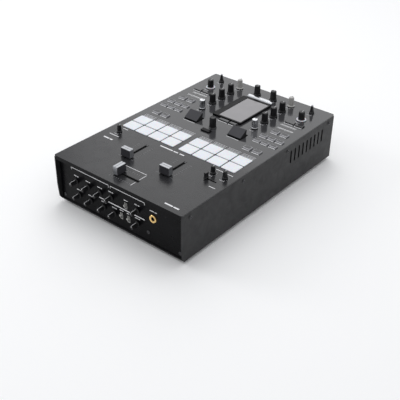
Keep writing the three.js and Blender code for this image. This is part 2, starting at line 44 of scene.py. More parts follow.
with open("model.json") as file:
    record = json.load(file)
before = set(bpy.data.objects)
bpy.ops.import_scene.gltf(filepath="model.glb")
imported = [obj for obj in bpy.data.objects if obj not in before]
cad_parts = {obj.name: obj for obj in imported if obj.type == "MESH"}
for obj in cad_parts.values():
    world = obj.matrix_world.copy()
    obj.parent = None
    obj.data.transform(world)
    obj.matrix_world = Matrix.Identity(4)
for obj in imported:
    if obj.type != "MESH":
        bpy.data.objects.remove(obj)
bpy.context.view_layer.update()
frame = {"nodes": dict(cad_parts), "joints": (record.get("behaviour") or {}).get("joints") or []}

MM = 0.001
ROOT = "mixer"
PLATE_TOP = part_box("top_plate")[1].z
FRONT_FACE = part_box("front_panel")[0].y
REAR_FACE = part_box("rear_panel")[1].y
SIDE_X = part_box("chassis")[1].x
PRINT_LIFT = 0.03 * MM
FACING = 0.9


# ---- Sizes and colours a user would change ------------------------------


class MixerSizes(bpy.types.PropertyGroup):
    """Sizes of details that the CAD frame leaves to the looks"""

    edge: bpy.props.FloatProperty(
        name="Edge softness",
        description="Radius of the softened edge on moulded pieces",
        default=0.35 * MM,
        unit="LENGTH",
    )
    print_thickness: bpy.props.FloatProperty(
        name="Print thickness",
        description="Thickness of the printed marks",
        default=0.05 * MM,
        unit="LENGTH",
    )
    label_height: bpy.props.FloatProperty(
        name="Label height",
        description="Height of a plain label bar",
        default=1.3 * MM,
        unit="LENGTH",
    )
    flutes: bpy.props.IntProperty(
        name="Knob flutes",
        description="Number of grooves round a knob's grip",
        default=18,
    )


class MixerColours(bpy.types.PropertyGroup):
    """Main colours of the mixer"""

    plate: bpy.props.FloatVectorProperty(
        name="Plate",
        description="Lacquer of the control plate",
        default=(0.016, 0.016, 0.018),
        subtype="COLOR",
    )
    pad: bpy.props.FloatVectorProperty(
        name="Pads",
        description="Silicone of the performance pads",
        default=(0.78, 0.80, 0.83),
        subtype="COLOR",
    )
    knob: bpy.props.FloatVectorProperty(
        name="Knobs",
        description="Rubber of the black knobs",
        default=(0.006, 0.006, 0.007),
        subtype="COLOR",
    )
    marks: bpy.props.FloatVectorProperty(
        name="Marks",
        description="Ink of the printed marks",
        default=(0.52, 0.52, 0.54),
        subtype="COLOR",
    )


def sizes():
    return bpy.context.scene.mixer_sizes


def colours():
    return bpy.context.scene.mixer_colours


# ---- Selecting and shaping ----------------------------------------------


def deselect():
    bpy.ops.object.select_all(action="DESELECT")


def only(obj):
    deselect()
    obj.select_set(True)
    bpy.context.view_layer.objects.active = obj


def settle(obj):
    only(obj)
    bpy.ops.object.transform_apply(location=True, rotation=True, scale=True)
    return obj


def choose(obj, test, kind="FACE"):
    """Enters edit mode with the faces, edges or vertices that pass the test selected."""
    only(obj)
    bpy.ops.object.mode_set(mode="EDIT")
    bpy.ops.mesh.select_mode(type=kind)
    bpy.ops.mesh.select_all(action="DESELECT")
    bpy.ops.object.mode_set(mode="OBJECT")
    mesh = obj.data
    if kind == "FACE":
        for face in mesh.polygons:
            face.select = test(face.center, face.normal)
    elif kind == "EDGE":
        for edge in mesh.edges:
            edge.select = test(*(mesh.vertices[i].co for i in edge.vertices))
    else:
        for vertex in mesh.vertices:
            vertex.select = test(vertex.co)
    bpy.ops.object.mode_set(mode="EDIT")


def leave_edit():
    bpy.ops.object.mode_set(mode="OBJECT")


def smooth(obj, angle=35):
    only(obj)
    bpy.ops.object.shade_smooth_by_angle(angle=math.radians(angle))
    return obj


def apply_modifier(obj, kind, **settings):
    only(obj)
    modifier = obj.modifiers.new(kind.title(), kind)
    for name, value in settings.items():
        setattr(modifier, name, value)
    bpy.ops.object.modifier_apply(modifier=modifier.name)


def cut_with(obj, tool):
    apply_modifier(obj, "BOOLEAN", operation="DIFFERENCE", object=tool, solver="EXACT")
    discard(tool)
    return obj


def soften(obj, width=None, segments=2, angle=35):
    """Rounds every edge sharper than the angle and keeps the flat faces shading flat."""
    apply_modifier(
        obj,
        "BEVEL",
        width=width or sizes().edge,
        segments=segments,
        limit_method="ANGLE",
        angle_limit=math.radians(angle),
    )
    smooth(obj)
    apply_modifier(obj, "WEIGHTED_NORMAL", keep_sharp=True)
    return obj


def block(low, high):
    low, high = Vector(low), Vector(high)
    deselect()
    bpy.ops.mesh.primitive_cube_add(size=1, location=(low + high) / 2)
    obj = bpy.context.object
    obj.scale = high - low
    return settle(obj)


def mm_block(low, high):
    """A block between two corners given in millimetres."""
    return block([value * MM for value in low], [value * MM for value in high])


def extrude_up(rise):
    """Extrudes the selected faces along +Z."""
    bpy.ops.mesh.extrude_region_move(TRANSFORM_OT_translate={"value": (0, 0, rise)})


def inset_top(obj, thickness, lift=0.0, extrude=False):
    """Insets the upward faces and then moves or extrudes them, in millimetres."""
    choose(obj, lambda centre, normal: normal.z > FACING)
    bpy.ops.mesh.inset(thickness=thickness * MM)
    if extrude:
        extrude_up(lift * MM)
    elif lift:
        bpy.ops.transform.translate(value=(0, 0, lift * MM))
    leave_edit()
    return obj


def round_corners(obj, radius, axis=2, segments=4):
    """Rounds the edges of a block that run along one axis."""
    others = [i for i in range(3) if i != axis]
    choose(obj, lambda a, b: all(abs(a[i] - b[i]) < 1e-6 for i in others), "EDGE")
    bpy.ops.mesh.bevel(offset=radius, segments=segments)
    leave_edit()
    return obj


def turned(profile, sides=32):
    """Stacks rings about +Z, from pairs of radius and height in millimetres."""
    deselect()
    radius, height = profile[0]
    bpy.ops.mesh.primitive_circle_add(
        vertices=sides, radius=radius * MM, fill_type="NGON", location=(0, 0, height * MM)
    )
    obj = settle(bpy.context.object)
    bpy.ops.object.mode_set(mode="EDIT")
    bpy.ops.mesh.select_all(action="SELECT")
    for next_radius, next_height in profile[1:]:
        rise = (next_height - height) * MM
        extrude_up(rise)
        scale = next_radius / radius
        bpy.ops.transform.resize(value=(scale, scale, 1), center_override=(0, 0, next_height * MM))
        radius, height = next_radius, next_height
    bpy.ops.mesh.select_all(action="SELECT")
    bpy.ops.mesh.normals_make_consistent(inside=False)
    leave_edit()
    return obj


def flute(obj, low, high, sides, depth):
    """Pulls every other vertical of a turned grip towards its axis."""

    def in_groove(place):
        step = round(math.atan2(place.y, place.x) / (math.tau / sides))
        return step % 2 == 1 and low * MM - 1e-6 < place.z < high * MM + 1e-6

    choose(obj, in_groove, "VERT")
    bpy.ops.transform.resize(value=(1 - depth, 1 - depth, 1), center_override=(0, 0, 0))
    leave_edit()
    return obj


def join(first, *others):
    deselect()
    for other in others:
        other.select_set(True)
    first.select_set(True)
    bpy.context.view_layer.objects.active = first
    bpy.ops.object.join()
    return first


def copy_of(obj, place=(0, 0, 0), turn=0.0):
    new = obj.copy()
    new.data = obj.data.copy()
    bpy.context.collection.objects.link(new)
    new.data.transform(Matrix.Translation(place) @ Matrix.Rotation(turn, 4, "Z"))
    return new


def discard(*objects):
    for obj in objects:
        bpy.data.objects.remove(obj)


def stand_out(obj, place, towards="front"):
    """Turns a piece made about +Z so that it stands out of the front, rear or a side."""
    turns = {
        "front": Matrix.Rotation(math.pi / 2, 4, "X"),
        "rear": Matrix.Rotation(math.pi, 4, "Z") @ Matrix.Rotation(math.pi / 2, 4, "X"),
        "left": Matrix.Rotation(-math.pi / 2, 4, "Z") @ Matrix.Rotation(math.pi / 2, 4, "X"),
        "right": Matrix.Rotation(math.pi / 2, 4, "Z") @ Matrix.Rotation(math.pi / 2, 4, "X"),
        "down": Matrix.Rotation(math.pi, 4, "X"),
    }
    obj.data.transform(Matrix.Translation(place) @ turns[towards])
    return obj


def from_node(node, edge=None, segments=2, angle=35):
    """A merged copy of a CAD node with its flat faces cleaned and its edges softened."""
    source = frame["nodes"][node]
    obj = source.copy()
    obj.data = source.data.copy()
    for key in list(obj.keys()):
        del obj[key]
    obj.parent = None
    bpy.context.collection.objects.link(obj)
    only(obj)
    bpy.ops.object.mode_set(mode="EDIT")
    bpy.ops.mesh.select_all(action="SELECT")
    bpy.ops.mesh.remove_doubles(threshold=0.005 * MM)
    bpy.ops.mesh.dissolve_limited(angle_limit=math.radians(0.5))
    leave_edit()
    if edge:
        soften(obj, edge, segments, angle)
    return obj


def paint(obj, *names, choice=None):
    """Gives a piece its finishes, and each face the one that the choice names by number."""
    obj.data.materials.clear()
    for name in names:
        obj.data.materials.append(finish(name))
    for face in obj.data.polygons:
        face.material_index = choice(face.center, face.normal) if choice else 0
    return obj


def seat(obj, name, body, slot, *nodes):
    obj.name = name
    obj.data.name = name
    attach(obj, body)
    if nodes:
        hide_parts(*nodes)
    return obj


def middle(node):
    low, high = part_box(node)
    return (low + high) / 2


def seat_many(pattern, places, name, slot, towards):
    """Seats a numbered copy of a pattern at each place, and discards the pattern."""
    for number, place in enumerate(places, 1):
        piece = copy_of(pattern)
        stand_out(piece, place, towards)
        seat(piece, f"{name}_{number}", ROOT, slot)
    discard(pattern)


# ---- Finishes -----------------------------------------------------------


def new_group(name, inputs, outputs):
    group = bpy.data.node_groups.new(name, "ShaderNodeTree")
    for label, kind, value in inputs:
        socket = group.interface.new_socket(label, in_out="INPUT", socket_type=kind)
        if value is not None:
            socket.default_value = value
    for label, kind in outputs:
        group.interface.new_socket(label, in_out="OUTPUT", socket_type=kind)
    return group, group.nodes.new("NodeGroupInput"), group.nodes.new("NodeGroupOutput")


def moulded_grain():
    """Fine surface texture and broad mottling, both from noise."""
    name = "moulded_grain"
    if name in bpy.data.node_groups:
        return bpy.data.node_groups[name]
    group, entry, leave = new_group(
        name,
        [("Vector", "NodeSocketVector", None), ("Scale", "NodeSocketFloat", 1500.0)],
        [("Height", "NodeSocketFloat"), ("Mottle", "NodeSocketFloat")],
    )
    fine = group.nodes.new("ShaderNodeTexNoise")
    preset(fine, {"Detail": 3.0, "Roughness": 0.6})
    broad = group.nodes.new("ShaderNodeTexNoise")
    preset(broad, {"Scale": 38.0, "Detail": 5.0, "Distortion": 0.4})
    spread = group.nodes.new("ShaderNodeMapRange")
    preset(spread, {"From Min": 0.3, "From Max": 0.7})
    links = group.links
    links.new(entry.outputs["Vector"], fine.inputs["Vector"])
    links.new(entry.outputs["Scale"], fine.inputs["Scale"])
    links.new(entry.outputs["Vector"], broad.inputs["Vector"])
    links.new(broad.outputs["Fac"], spread.inputs["Value"])
    links.new(fine.outputs["Fac"], leave.inputs["Height"])
    links.new(spread.outputs["Result"], leave.inputs["Mottle"])
    return group


def handled_gloss():
    """Roughness that drifts between two values where hands have polished a surface."""
    name = "handled_gloss"
    if name in bpy.data.node_groups:
        return bpy.data.node_groups[name]
    group, entry, leave = new_group(
        name,
        [
            ("Vector", "NodeSocketVector", None),
            ("Scale", "NodeSocketFloat", 60.0),
            ("Low", "NodeSocketFloat", 0.3),
            ("High", "NodeSocketFloat", 0.5),
        ],
        [("Roughness", "NodeSocketFloat")],
    )
    smudge = group.nodes.new("ShaderNodeTexNoise")
    preset(smudge, {"Detail": 6.0, "Roughness": 0.65, "Distortion": 0.8})
    spread = group.nodes.new("ShaderNodeMapRange")
    preset(spread, {"From Min": 0.32, "From Max": 0.68})
    links = group.links
    links.new(entry.outputs["Vector"], smudge.inputs["Vector"])
    links.new(entry.outputs["Scale"], smudge.inputs["Scale"])
    links.new(smudge.outputs["Fac"], spread.inputs["Value"])
    links.new(entry.outputs["Low"], spread.inputs["To Min"])
    links.new(entry.outputs["High"], spread.inputs["To Max"])
    links.new(spread.outputs["Result"], leave.inputs["Roughness"])
    return group


def preset(node, values):
    """Sets the named inputs of a node."""
    for label, value in values.items():
        node.inputs[label].default_value = value


def placed_group(nodes, group):
    node = nodes.new("ShaderNodeGroup")
    node.node_tree = group
    return node


def finish_specs():
    """Colour, second colour, roughness range, grain scale, bump height and anything else."""
    c = colours()
    return {
        "plate_lacquer": (
            tuple(c.plate), (0.020, 0.020, 0.022), (0.22, 0.3), 2600, 0.04,
            {
                "Specular IOR Level": 0.36,
                # Glossier towards the rear, and lighter there: the lighter colour is painted
                # reflection.
                "zone": dict(start=-75 * MM, end=0.0, colour=(0.044, 0.044, 0.047), rough=-0.14),
            },
        ),
        "chassis_powder": (
            (0.012, 0.012, 0.013), (0.017, 0.017, 0.018), (0.42, 0.58), 1700, 0.3,
            {"Specular IOR Level": 0.35},
        ),
        "panel_gloss": (
            (0.0025, 0.0025, 0.003), (0.004, 0.004, 0.005), (0.24, 0.34), 900, 0.03,
            {"Specular IOR Level": 0.07},
        ),
        "knob_rubber": (
            tuple(c.knob), (0.010, 0.010, 0.011), (0.3, 0.46), 2400, 0.2,
            {"Specular IOR Level": 0.4},
        ),
        "cap_grey": (
            (0.47, 0.465, 0.45), (0.40, 0.395, 0.38), (0.32, 0.45), 2200, 0.12, {},
        ),
        "bright_chrome": (
            (0.72, 0.73, 0.75), (0.66, 0.67, 0.69), (0.06, 0.16), 1200, 0.04, {"Metallic": 1.0},
        ),
        "bar_satin": (
            (0.60, 0.61, 0.63), (0.52, 0.53, 0.55), (0.1, 0.2), 2000, 0.05, {"Metallic": 0.95},
        ),
        "cap_silver": (
            (0.44, 0.45, 0.47), (0.38, 0.39, 0.41), (0.26, 0.38), 2600, 0.08,
            {"stretch": (1, 14, 1), "Metallic": 0.75},
        ),
        "slate_plastic": (
            (0.034, 0.034, 0.039), (0.041, 0.041, 0.047), (0.38, 0.5), 2300, 0.15,
            {"Specular IOR Level": 0.35},
        ),
        "black_plastic": (
            (0.010, 0.010, 0.011), (0.015, 0.015, 0.016), (0.28, 0.42), 2200, 0.16, {},
        ),
        "key_grey": (
            (0.036, 0.036, 0.039), (0.046, 0.046, 0.050), (0.3, 0.42), 2400, 0.12, {},
        ),
        # Light grey of the key rims and sides: painted highlight.
        "painted_key_highlight": (
            (0.42, 0.42, 0.44), (0.37, 0.37, 0.39), (0.3, 0.4), 2400, 0.08, {},
        ),
        "pad_silicone": (
            tuple(c.pad), (0.74, 0.76, 0.80), (0.38, 0.5), 1900, 0.12,
            {"Subsurface Weight": 0.12, "Subsurface Scale": 0.002},
        ),
        # Greyer side walls of the pads: painted shade.
        "pad_side_shade": (
            (0.60, 0.62, 0.66), (0.55, 0.57, 0.61), (0.36, 0.48), 1900, 0.1, {},
        ),
        "light_ring": (
            (0.62, 0.63, 0.66), (0.55, 0.56, 0.6), (0.25, 0.35), 1500, 0.05,
            {"Subsurface Weight": 0.15, "Subsurface Scale": 0.002},
        ),
        "printed_ink": (
            tuple(c.marks), (0.46, 0.46, 0.48), (0.45, 0.6), 3000, 0.1, {},
        ),
        "faint_ink": (
            (0.25, 0.25, 0.26), (0.21, 0.21, 0.22), (0.45, 0.6), 3000, 0.1, {},
        ),
        "white_ink": (
            (0.82, 0.82, 0.83), (0.76, 0.76, 0.78), (0.4, 0.55), 3000, 0.08, {},
        ),
        "screen_face": (
            (0.215, 0.208, 0.216), (0.198, 0.192, 0.200), (0.12, 0.2), 1400, 0.02, {},
        ),
        "foot_rubber": (
            (0.014, 0.014, 0.015), (0.022, 0.022, 0.022), (0.7, 0.85), 1500, 0.4, {},
        ),
        "screw_steel": (
            (0.10, 0.10, 0.105), (0.07, 0.07, 0.075), (0.25, 0.4), 2000, 0.1, {"Metallic": 0.9},
        ),
        "plated_steel": (
            (0.55, 0.56, 0.58), (0.46, 0.47, 0.49), (0.25, 0.42), 2400, 0.12,
            {"stretch": (1, 1, 20), "Metallic": 1.0},
        ),
        "gold_plate": (
            (0.86, 0.60, 0.26), (0.78, 0.53, 0.22), (0.14, 0.26), 1800, 0.05, {"Metallic": 1.0},
        ),
        "socket_red": (
            (0.42, 0.018, 0.016), (0.36, 0.014, 0.013), (0.3, 0.42), 2000, 0.08, {},
        ),
        "socket_white": (
            (0.70, 0.70, 0.68), (0.62, 0.62, 0.6), (0.32, 0.44), 2000, 0.08, {},
        ),
        "board_mask": (
            (0.005, 0.009, 0.007), (0.008, 0.013, 0.010), (0.4, 0.52), 900, 0.2, {},
        ),
        # Near-black sheet for painted shade in the pad gaps and beside the fader slots.
        "painted_gap_shade": (
            (0.004, 0.004, 0.004), (0.008, 0.008, 0.008), (0.85, 0.95), 3000, 0.5, {},
        ),
    }


def finish(name):
    """Builds a named finish once, as a Principled surface with grain, mottling and polish."""
    if name in bpy.data.materials:
        return bpy.data.materials[name]
    base, second, rough, grain_scale, bump_height, extra = finish_specs()[name]
    material = bpy.data.materials.new(name)
    material.use_nodes = True
    nodes, links = material.node_tree.nodes, material.node_tree.links
    shader = nodes["Principled BSDF"]
    place = nodes.new("ShaderNodeTexCoord")
    vector = place.outputs["Object"]
    if "stretch" in extra:
        mapping = nodes.new("ShaderNodeMapping")
        mapping.inputs["Scale"].default_value = extra["stretch"]
        links.new(vector, mapping.inputs["Vector"])
        vector = mapping.outputs["Vector"]
    grain = placed_group(nodes, moulded_grain())
    grain.inputs["Scale"].default_value = grain_scale
    links.new(vector, grain.inputs["Vector"])
    tint = nodes.new("ShaderNodeMix")
    tint.data_type = "RGBA"
    preset(tint, {"A": (*base, 1), "B": (*second, 1)})
    links.new(grain.outputs["Mottle"], tint.inputs["Factor"])
    links.new(tint.outputs["Result"], shader.inputs["Base Color"])
    gloss = placed_group(nodes, handled_gloss())
    gloss.inputs["Low"].default_value, gloss.inputs["High"].default_value = rough
    links.new(place.outputs["Object"], gloss.inputs["Vector"])
    links.new(gloss.outputs["Roughness"], shader.inputs["Roughness"])
    if "zone" in extra:
        add_gloss_and_painted_reflection(material, tint.outputs["Result"], gloss.outputs["Roughness"], extra["zone"])
    bump = nodes.new("ShaderNodeBump")
    preset(bump, {"Strength": bump_height, "Distance": 0.05 * MM})
    links.new(grain.outputs["Height"], bump.inputs["Height"])
    links.new(bump.outputs["Normal"], shader.inputs["Normal"])
    for socket, value in extra.items():
        if socket in shader.inputs:
            shader.inputs[socket].default_value = value
    return material


def add_gloss_and_painted_reflection(material, colour, roughness, zone):
    """Turns a finish glossier and lighter from the front of the plate to its rear; the lighter
    colour is painted reflection.
    """
    nodes, links = material.node_tree.nodes, material.node_tree.links
    shader = nodes["Principled BSDF"]
    place = nodes.new("ShaderNodeTexCoord")
    axes = nodes.new("ShaderNodeSeparateXYZ")
    spread = nodes.new("ShaderNodeMapRange")
    spread.interpolation_type = "SMOOTHSTEP"
    preset(spread, {"From Min": zone["start"], "From Max": zone["end"]})
    tint = nodes.new("ShaderNodeMix")
    tint.data_type = "RGBA"
    tint.inputs["B"].default_value = (*zone["colour"], 1)
    polish = nodes.new("ShaderNodeMath")
    polish.operation = "MULTIPLY_ADD"
    polish.inputs[1].default_value = zone["rough"]
    links.new(place.outputs["Object"], axes.inputs["Vector"])
    links.new(axes.outputs["Y"], spread.inputs["Value"])
    links.new(spread.outputs["Result"], tint.inputs["Factor"])
    links.new(colour, tint.inputs["A"])
    links.new(tint.outputs["Result"], shader.inputs["Base Color"])
    links.new(spread.outputs["Result"], polish.inputs[0])
    links.new(roughness, polish.inputs[2])
    links.new(polish.outputs["Value"], shader.inputs["Roughness"])


# ---- Printed marks ------------------------------------------------------


def printed(bars):
    """Flat bars in the x-y plane, each (x, y, width, depth) or with a turn, in millimetres."""
    deselect()
    bpy.ops.mesh.primitive_plane_add(size=MM)
    obj = bpy.context.object
    bpy.ops.object.mode_set(mode="EDIT")
    bpy.ops.mesh.delete(type="VERT")
    for x, y, width, depth, *turn in bars:
        centre = (x * MM, y * MM, 0)
        bpy.ops.mesh.select_all(action="DESELECT")
        bpy.ops.mesh.primitive_plane_add(size=MM, location=centre)
        bpy.ops.transform.resize(value=(width, depth, 1), center_override=centre)
        if turn:
            bpy.ops.transform.rotate(value=turn[0], orient_axis="Z", center_override=centre)
    bpy.ops.mesh.select_all(action="SELECT")
    thickness = sizes().print_thickness
    extrude_up(thickness)
    bpy.ops.mesh.select_all(action="SELECT")
    bpy.ops.mesh.normals_make_consistent(inside=False)
    leave_edit()
    return obj


def label(x, y, width):
    """A plain label: two short bars where a maker would print words."""
    height = sizes().label_height / MM
    first = width * 0.56
    second = width * 0.32
    return [
        (x - width / 2 + first / 2, y, first, height),
        (x + width / 2 - second / 2, y, second, height),
    ]


def tick_ring(radius, count=11, span=300, length=1.5, width=0.4):
    """Short radial ticks round a knob, open towards the player."""
    bars = []
    for step in range(count):
        angle = math.radians(90 + span / 2 - span * step / (count - 1))
        x, y = radius * math.cos(angle), radius * math.sin(angle)
        bars.append((x, y, length, width, -angle))
    return bars


# ---- Stage --------------------------------------------------------------

CAMERA_PLACE = (0.6726, -0.8374, 0.6710)
CAMERA_AZIMUTH = 38.81
CAMERA_ELEVATION = 33.61
CAMERA_ROLL = 0.92
CAMERA_LENS = 66.43
SENSOR = 36.0


def add_camera():
    azimuth, elevation = math.radians(CAMERA_AZIMUTH), math.radians(CAMERA_ELEVATION)
    flat = math.cos(elevation)
    back = Vector((math.sin(azimuth) * flat, -math.cos(azimuth) * flat, math.sin(elevation)))
    right = Vector((0, 0, 1)).cross(back).normalized()
    up = back.cross(right)
    roll = Matrix.Rotation(math.radians(CAMERA_ROLL), 4, "Z")
    turn = Matrix((right, up, back)).transposed().to_4x4() @ roll
    bpy.ops.object.camera_add(location=CAMERA_PLACE)
    camera = bpy.context.object
    camera.matrix_world = Matrix.Translation(CAMERA_PLACE) @ turn
    camera.data.sensor_width = SENSOR
    camera.data.lens = CAMERA_LENS
    bpy.context.scene.camera = camera


def add_light(name, place, aim, size, power, colour=(1, 1, 1)):
    bpy.ops.object.light_add(type="AREA", location=place)
    light = bpy.context.object
    light.name = name
    light.data.size = size
    light.data.energy = power
    light.data.color = colour
    direction = Vector(aim) - Vector(place)
    light.rotation_euler = direction.to_track_quat("-Z", "Y").to_euler()


def add_world():
    """Soft light that is white overhead and greyer towards the horizon."""
    world = bpy.data.worlds.new("studio")
    world.use_nodes = True
    nodes, links = world.node_tree.nodes, world.node_tree.links
    background = nodes["Background"]
    background.inputs["Color"].default_value = (0.97, 0.98, 1, 1)
    place = nodes.new("ShaderNodeTexCoord")
    axes = nodes.new("ShaderNodeSeparateXYZ")
    spread = nodes.new("ShaderNodeMapRange")
    preset(spread, {"From Min": 0.05, "From Max": 0.75, "To Min": 0.38, "To Max": 0.85})
    links.new(place.outputs["Generated"], axes.inputs["Vector"])
    links.new(axes.outputs["Z"], spread.inputs["Value"])
    links.new(spread.outputs["Result"], background.inputs["Strength"])
    bpy.context.scene.world = world


class MIXER_OT_stage(bpy.types.Operator):
    """Set the floor, the studio lights and the camera"""

    bl_idname = "mixer.stage"
    bl_label = "Stage"

    def execute(self, context):
        deselect()
        bpy.ops.mesh.primitive_plane_add(size=8)
        floor = bpy.context.object
        floor.name = "floor"
        sheet = bpy.data.materials.new("floor_paper")
        sheet.use_nodes = True
        shader = sheet.node_tree.nodes["Principled BSDF"]
        preset(shader, {"Base Color": (0.97, 0.97, 0.97, 1), "Roughness": 0.75})
        floor.data.materials.append(sheet)
        add_world()
        context.scene.view_settings.view_transform = "Standard"
        add_light("overhead_box", (-0.2, 0.4, 1.6), (0, 0, 0.1), 1.1, 6)
        add_light("rear_box", (-1.5, 2.0, 1.5), (0, 0.1, 0.08), 1.6, 8)
        add_light("left_box", (-1.5, -0.7, 0.9), (0, 0, 0.08), 0.6, 5)
        add_camera()
        return {"FINISHED"}


# ---- Control plate ------------------------------------------------------


def knob_nodes():
    turning = [j["child"] for j in frame["joints"] if j["type"] == "hinge"]
    return [node for node in turning if "paddle" not in node and "front" not in node]


def keypad_caps():
    """Centre and size of every button cap, read from the top faces of the keypad."""
    mat = from_node("button_keypad")
    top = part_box("button_keypad")[1].z
    caps = []
    for face in mat.data.polygons:
        if abs(face.center.z - top) < 1e-5 and face.normal.z > 0.9:
            corners = [mat.data.vertices[i].co for i in face.vertices]
            xs, ys = [p.x for p in corners], [p.y for p in corners]
            caps.append((face.center.copy(), max(xs) - min(xs), max(ys) - min(ys)))
    discard(mat)
    return sorted(caps, key=lambda cap: (round(cap[0].y, 4), cap[0].x))


def pad_print():
    """Fine strips above each column of pads."""
    bars = []
    for side in ("left", "right"):
        for column in range(5, 9):
            low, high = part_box(f"pad_{side}_{column}")
            x, width = (low.x + high.x) / 2 / MM, (high.x - low.x) / MM
            y = high.y / MM
            for row, depth in ((3.0, 1.3), (6.2, 1.1), (9.6, 0.9)):
                bars.append((x, y + row, width * 0.92, depth))
    return bars


def pad_gaps():
    """Dark bars on the plate between neighbouring pads: painted shade in the gaps."""
    bars = []
    for side in ("left", "right"):
        boxes = [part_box(f"pad_{side}_{number}") for number in range(1, 9)]
        west, east = min(b[0].x for b in boxes) / MM, max(b[1].x for b in boxes) / MM
        south, north = min(b[0].y for b in boxes) / MM, max(b[1].y for b in boxes) / MM
        for column in range(3):
            x = (boxes[column][1].x + boxes[column + 1][0].x) / 2 / MM
            bars.append((x, (south + north) / 2, 1.3, north - south))
        y = (boxes[0][1].y + boxes[4][0].y) / 2 / MM
        bars.append(((west + east) / 2, y, east - west, 1.1))
    return bars


def knob_print():
    bars = []
    for node in knob_nodes():
        centre = middle(node) / MM
        low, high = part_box(node)
        skirt = (high.x - low.x) / 2 / MM
        if "browse" in node:
            continue
        ring = tick_ring(skirt + 1.8, count=9 if skirt > 8 else 11)
        bars += [(centre.x + x, centre.y + y, w, d, t) for x, y, w, d, t in ring]
        bars += label(centre.x, centre.y - skirt - 3.6, 9)
    return bars


LONG_LINES = [(98, 101), (96, 113.7)]


def button_print():
    """A bright line in front of every key and two long lines behind the groups."""
    bars = []
    for centre, width, depth in keypad_caps():
        x, y = centre.x / MM, centre.y / MM
        bars.append((x, y - depth / MM / 2 - 1.6, width / MM, 1.5))
    for side in (-1, 1):
        for x, y in LONG_LINES:
            bars.append((side * x, y, 31, 1.1))
            bars.append((side * x, y - 2.4, 31, 0.5))
    return bars


def fader_print():
    bars = []
    for side in ("left", "right"):
        low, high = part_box(f"channel_fader_{side}")
        x = (low.x + high.x) / 2 / MM
        start = (low.y + high.y) / 2 / MM - 4
        for step in range(11):
            length = 5 if step % 5 == 0 else 3.2
            for across in (-1, 1):
                centre = x + across * (11.5 + length / 2)
                bars.append((centre, start + step * 4.5, length, 0.45))
    low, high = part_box("crossfader")
    y = (low.y + high.y) / 2 / MM
    for step in range(11):
        length = 4.5 if step % 5 == 0 else 3
        for across in (-1, 1):
            bars.append((-22.5 + 4.5 * step, y + across * (11.5 + length / 2), 0.45, length))
    return bars


SLOT_EDGE = 2.1
SLOT_LONG = 50


def slot_edges():
    """Black edges that widen the look of the three fader slots: painted shade of their dark
    openings.
    """
    bars = []
    for side in ("left", "right"):
        low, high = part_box(f"channel_fader_{side}")
        x, y = (low.x + high.x) / 2 / MM, (low.y + high.y) / 2 / MM + 22
        bars += [(x + across * SLOT_EDGE, y, 1.2, SLOT_LONG) for across in (-1, 1)]
    low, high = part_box("crossfader")
    y = (low.y + high.y) / 2 / MM
    bars += [(0, y + across * SLOT_EDGE, SLOT_LONG, 1.2) for across in (-1, 1)]
    return bars


def plate_lines():
    """Longer printed lines: fader scales, paddle lines and the sections of the plate."""
    bars = [(-1, -154.8, 44, 0.9), (21.5, -164.5, 0.9, 15), (21.5, -185.5, 0.9, 10)]
    bars += [(-11, -74.5, 26, 2.4), (8.5, -74.5, 9, 2.4), (21, -74.5, 9, 2.4)]
    bars += [(98, -193, 15, 2.7), (112, -193, 10, 2.7)]
    bars += [(-109, -111, 12, 2.8), (-98.5, -111, 6, 2.8), (-105, -97.3, 21, 1.5)]
    bars += [(-104.5, -71, 11, 1.2), (95, -73.4, 13, 1.2), (111.5, -74.3, 20, 1.2)]
    bars.append((116, -118.2, 12, 1.2))
    for side in ("left", "right"):
        low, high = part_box(f"effect_paddle_{side}")
        x = (low.x + high.x) / 2 / MM
        bars.append((x, low.y / MM - 4, 24, 0.9))
    return bars


SCREW_HEAD = [(2.9, 0), (2.9, 0.7), (2.5, 1.1), (1.7, 1.25), (1.35, 1.25), (1.3, 0.35), (0.3, 0.3)]


def screw_head():
    head = turned(SCREW_HEAD, 24)
    smooth(head, 40)
    return paint(head, "screw_steel")


class MIXER_OT_plate(bpy.types.Operator):
    """Finish the control plate and print its marks"""

    bl_idname = "mixer.plate"
    bl_label = "Control plate"

    def execute(self, context):
        plate = from_node("top_plate", 0.35 * MM, 2, 60)
        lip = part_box("top_plate")[0].y + 0.3 * MM
        # The plate's front lip takes the black panel finish, darker than its top: painted shade on
        # the lip.
        paint(
            plate,
            "plate_lacquer",
            "panel_gloss",
            choice=lambda c, n: 1 if n.y < -0.7 and c.y < lip else 0,
        )
        seat(plate, "control_plate", ROOT, "plate", "top_plate")
        lift = PLATE_TOP + PRINT_LIFT
        groups = {
            "pad_gaps": (pad_gaps(), "painted_gap_shade"),
            "pad_strips": (pad_print(), "printed_ink"),
            "knob_scales": (knob_print(), "printed_ink"),
            "button_labels": (button_print(), "white_ink"),
            "fader_scales": (fader_print(), "faint_ink"),
            "plate_lines": (plate_lines(), "white_ink"),
            "slot_edges": (slot_edges(), "painted_gap_shade"),
        }
        for name, (bars, ink) in groups.items():
            marks = paint(printed(bars), ink)
            marks.data.transform(Matrix.Translation((0, 0, lift)))
            seat(marks, name, ROOT, "button")
        return {"FINISHED"}


# ---- Pads and buttons ---------------------------------------------------


def pad_cap():
    low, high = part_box("pad_left_1")
    size = high - low
    top = high.z
    crown = 0.35 * MM
    cap = block((-size.x / 2, -size.y / 2, low.z), (size.x / 2, size.y / 2, top - crown))
    round_corners(cap, 1.7 * MM)
    choose(cap, lambda centre, normal: normal.z > FACING)
    bpy.ops.mesh.inset(thickness=1.3 * MM)
    bpy.ops.transform.translate(value=(0, 0, crown))
    for shrink in (0.9, 0.8):
        extrude_up(0.08 * MM)
        bpy.ops.transform.resize(value=(shrink, shrink, 1), center_override=(0, 0, top))
    leave_edit()
    soften(cap, 0.25 * MM, 2, 25)
    # Faces below the shoulder, the pad's side walls, take the greyer colour of painted shade.
    shoulder = top - 0.6 * MM
    return paint(
        cap, "pad_silicone", "pad_side_shade", choice=lambda c, n: 1 if c.z < shoulder else 0
    )


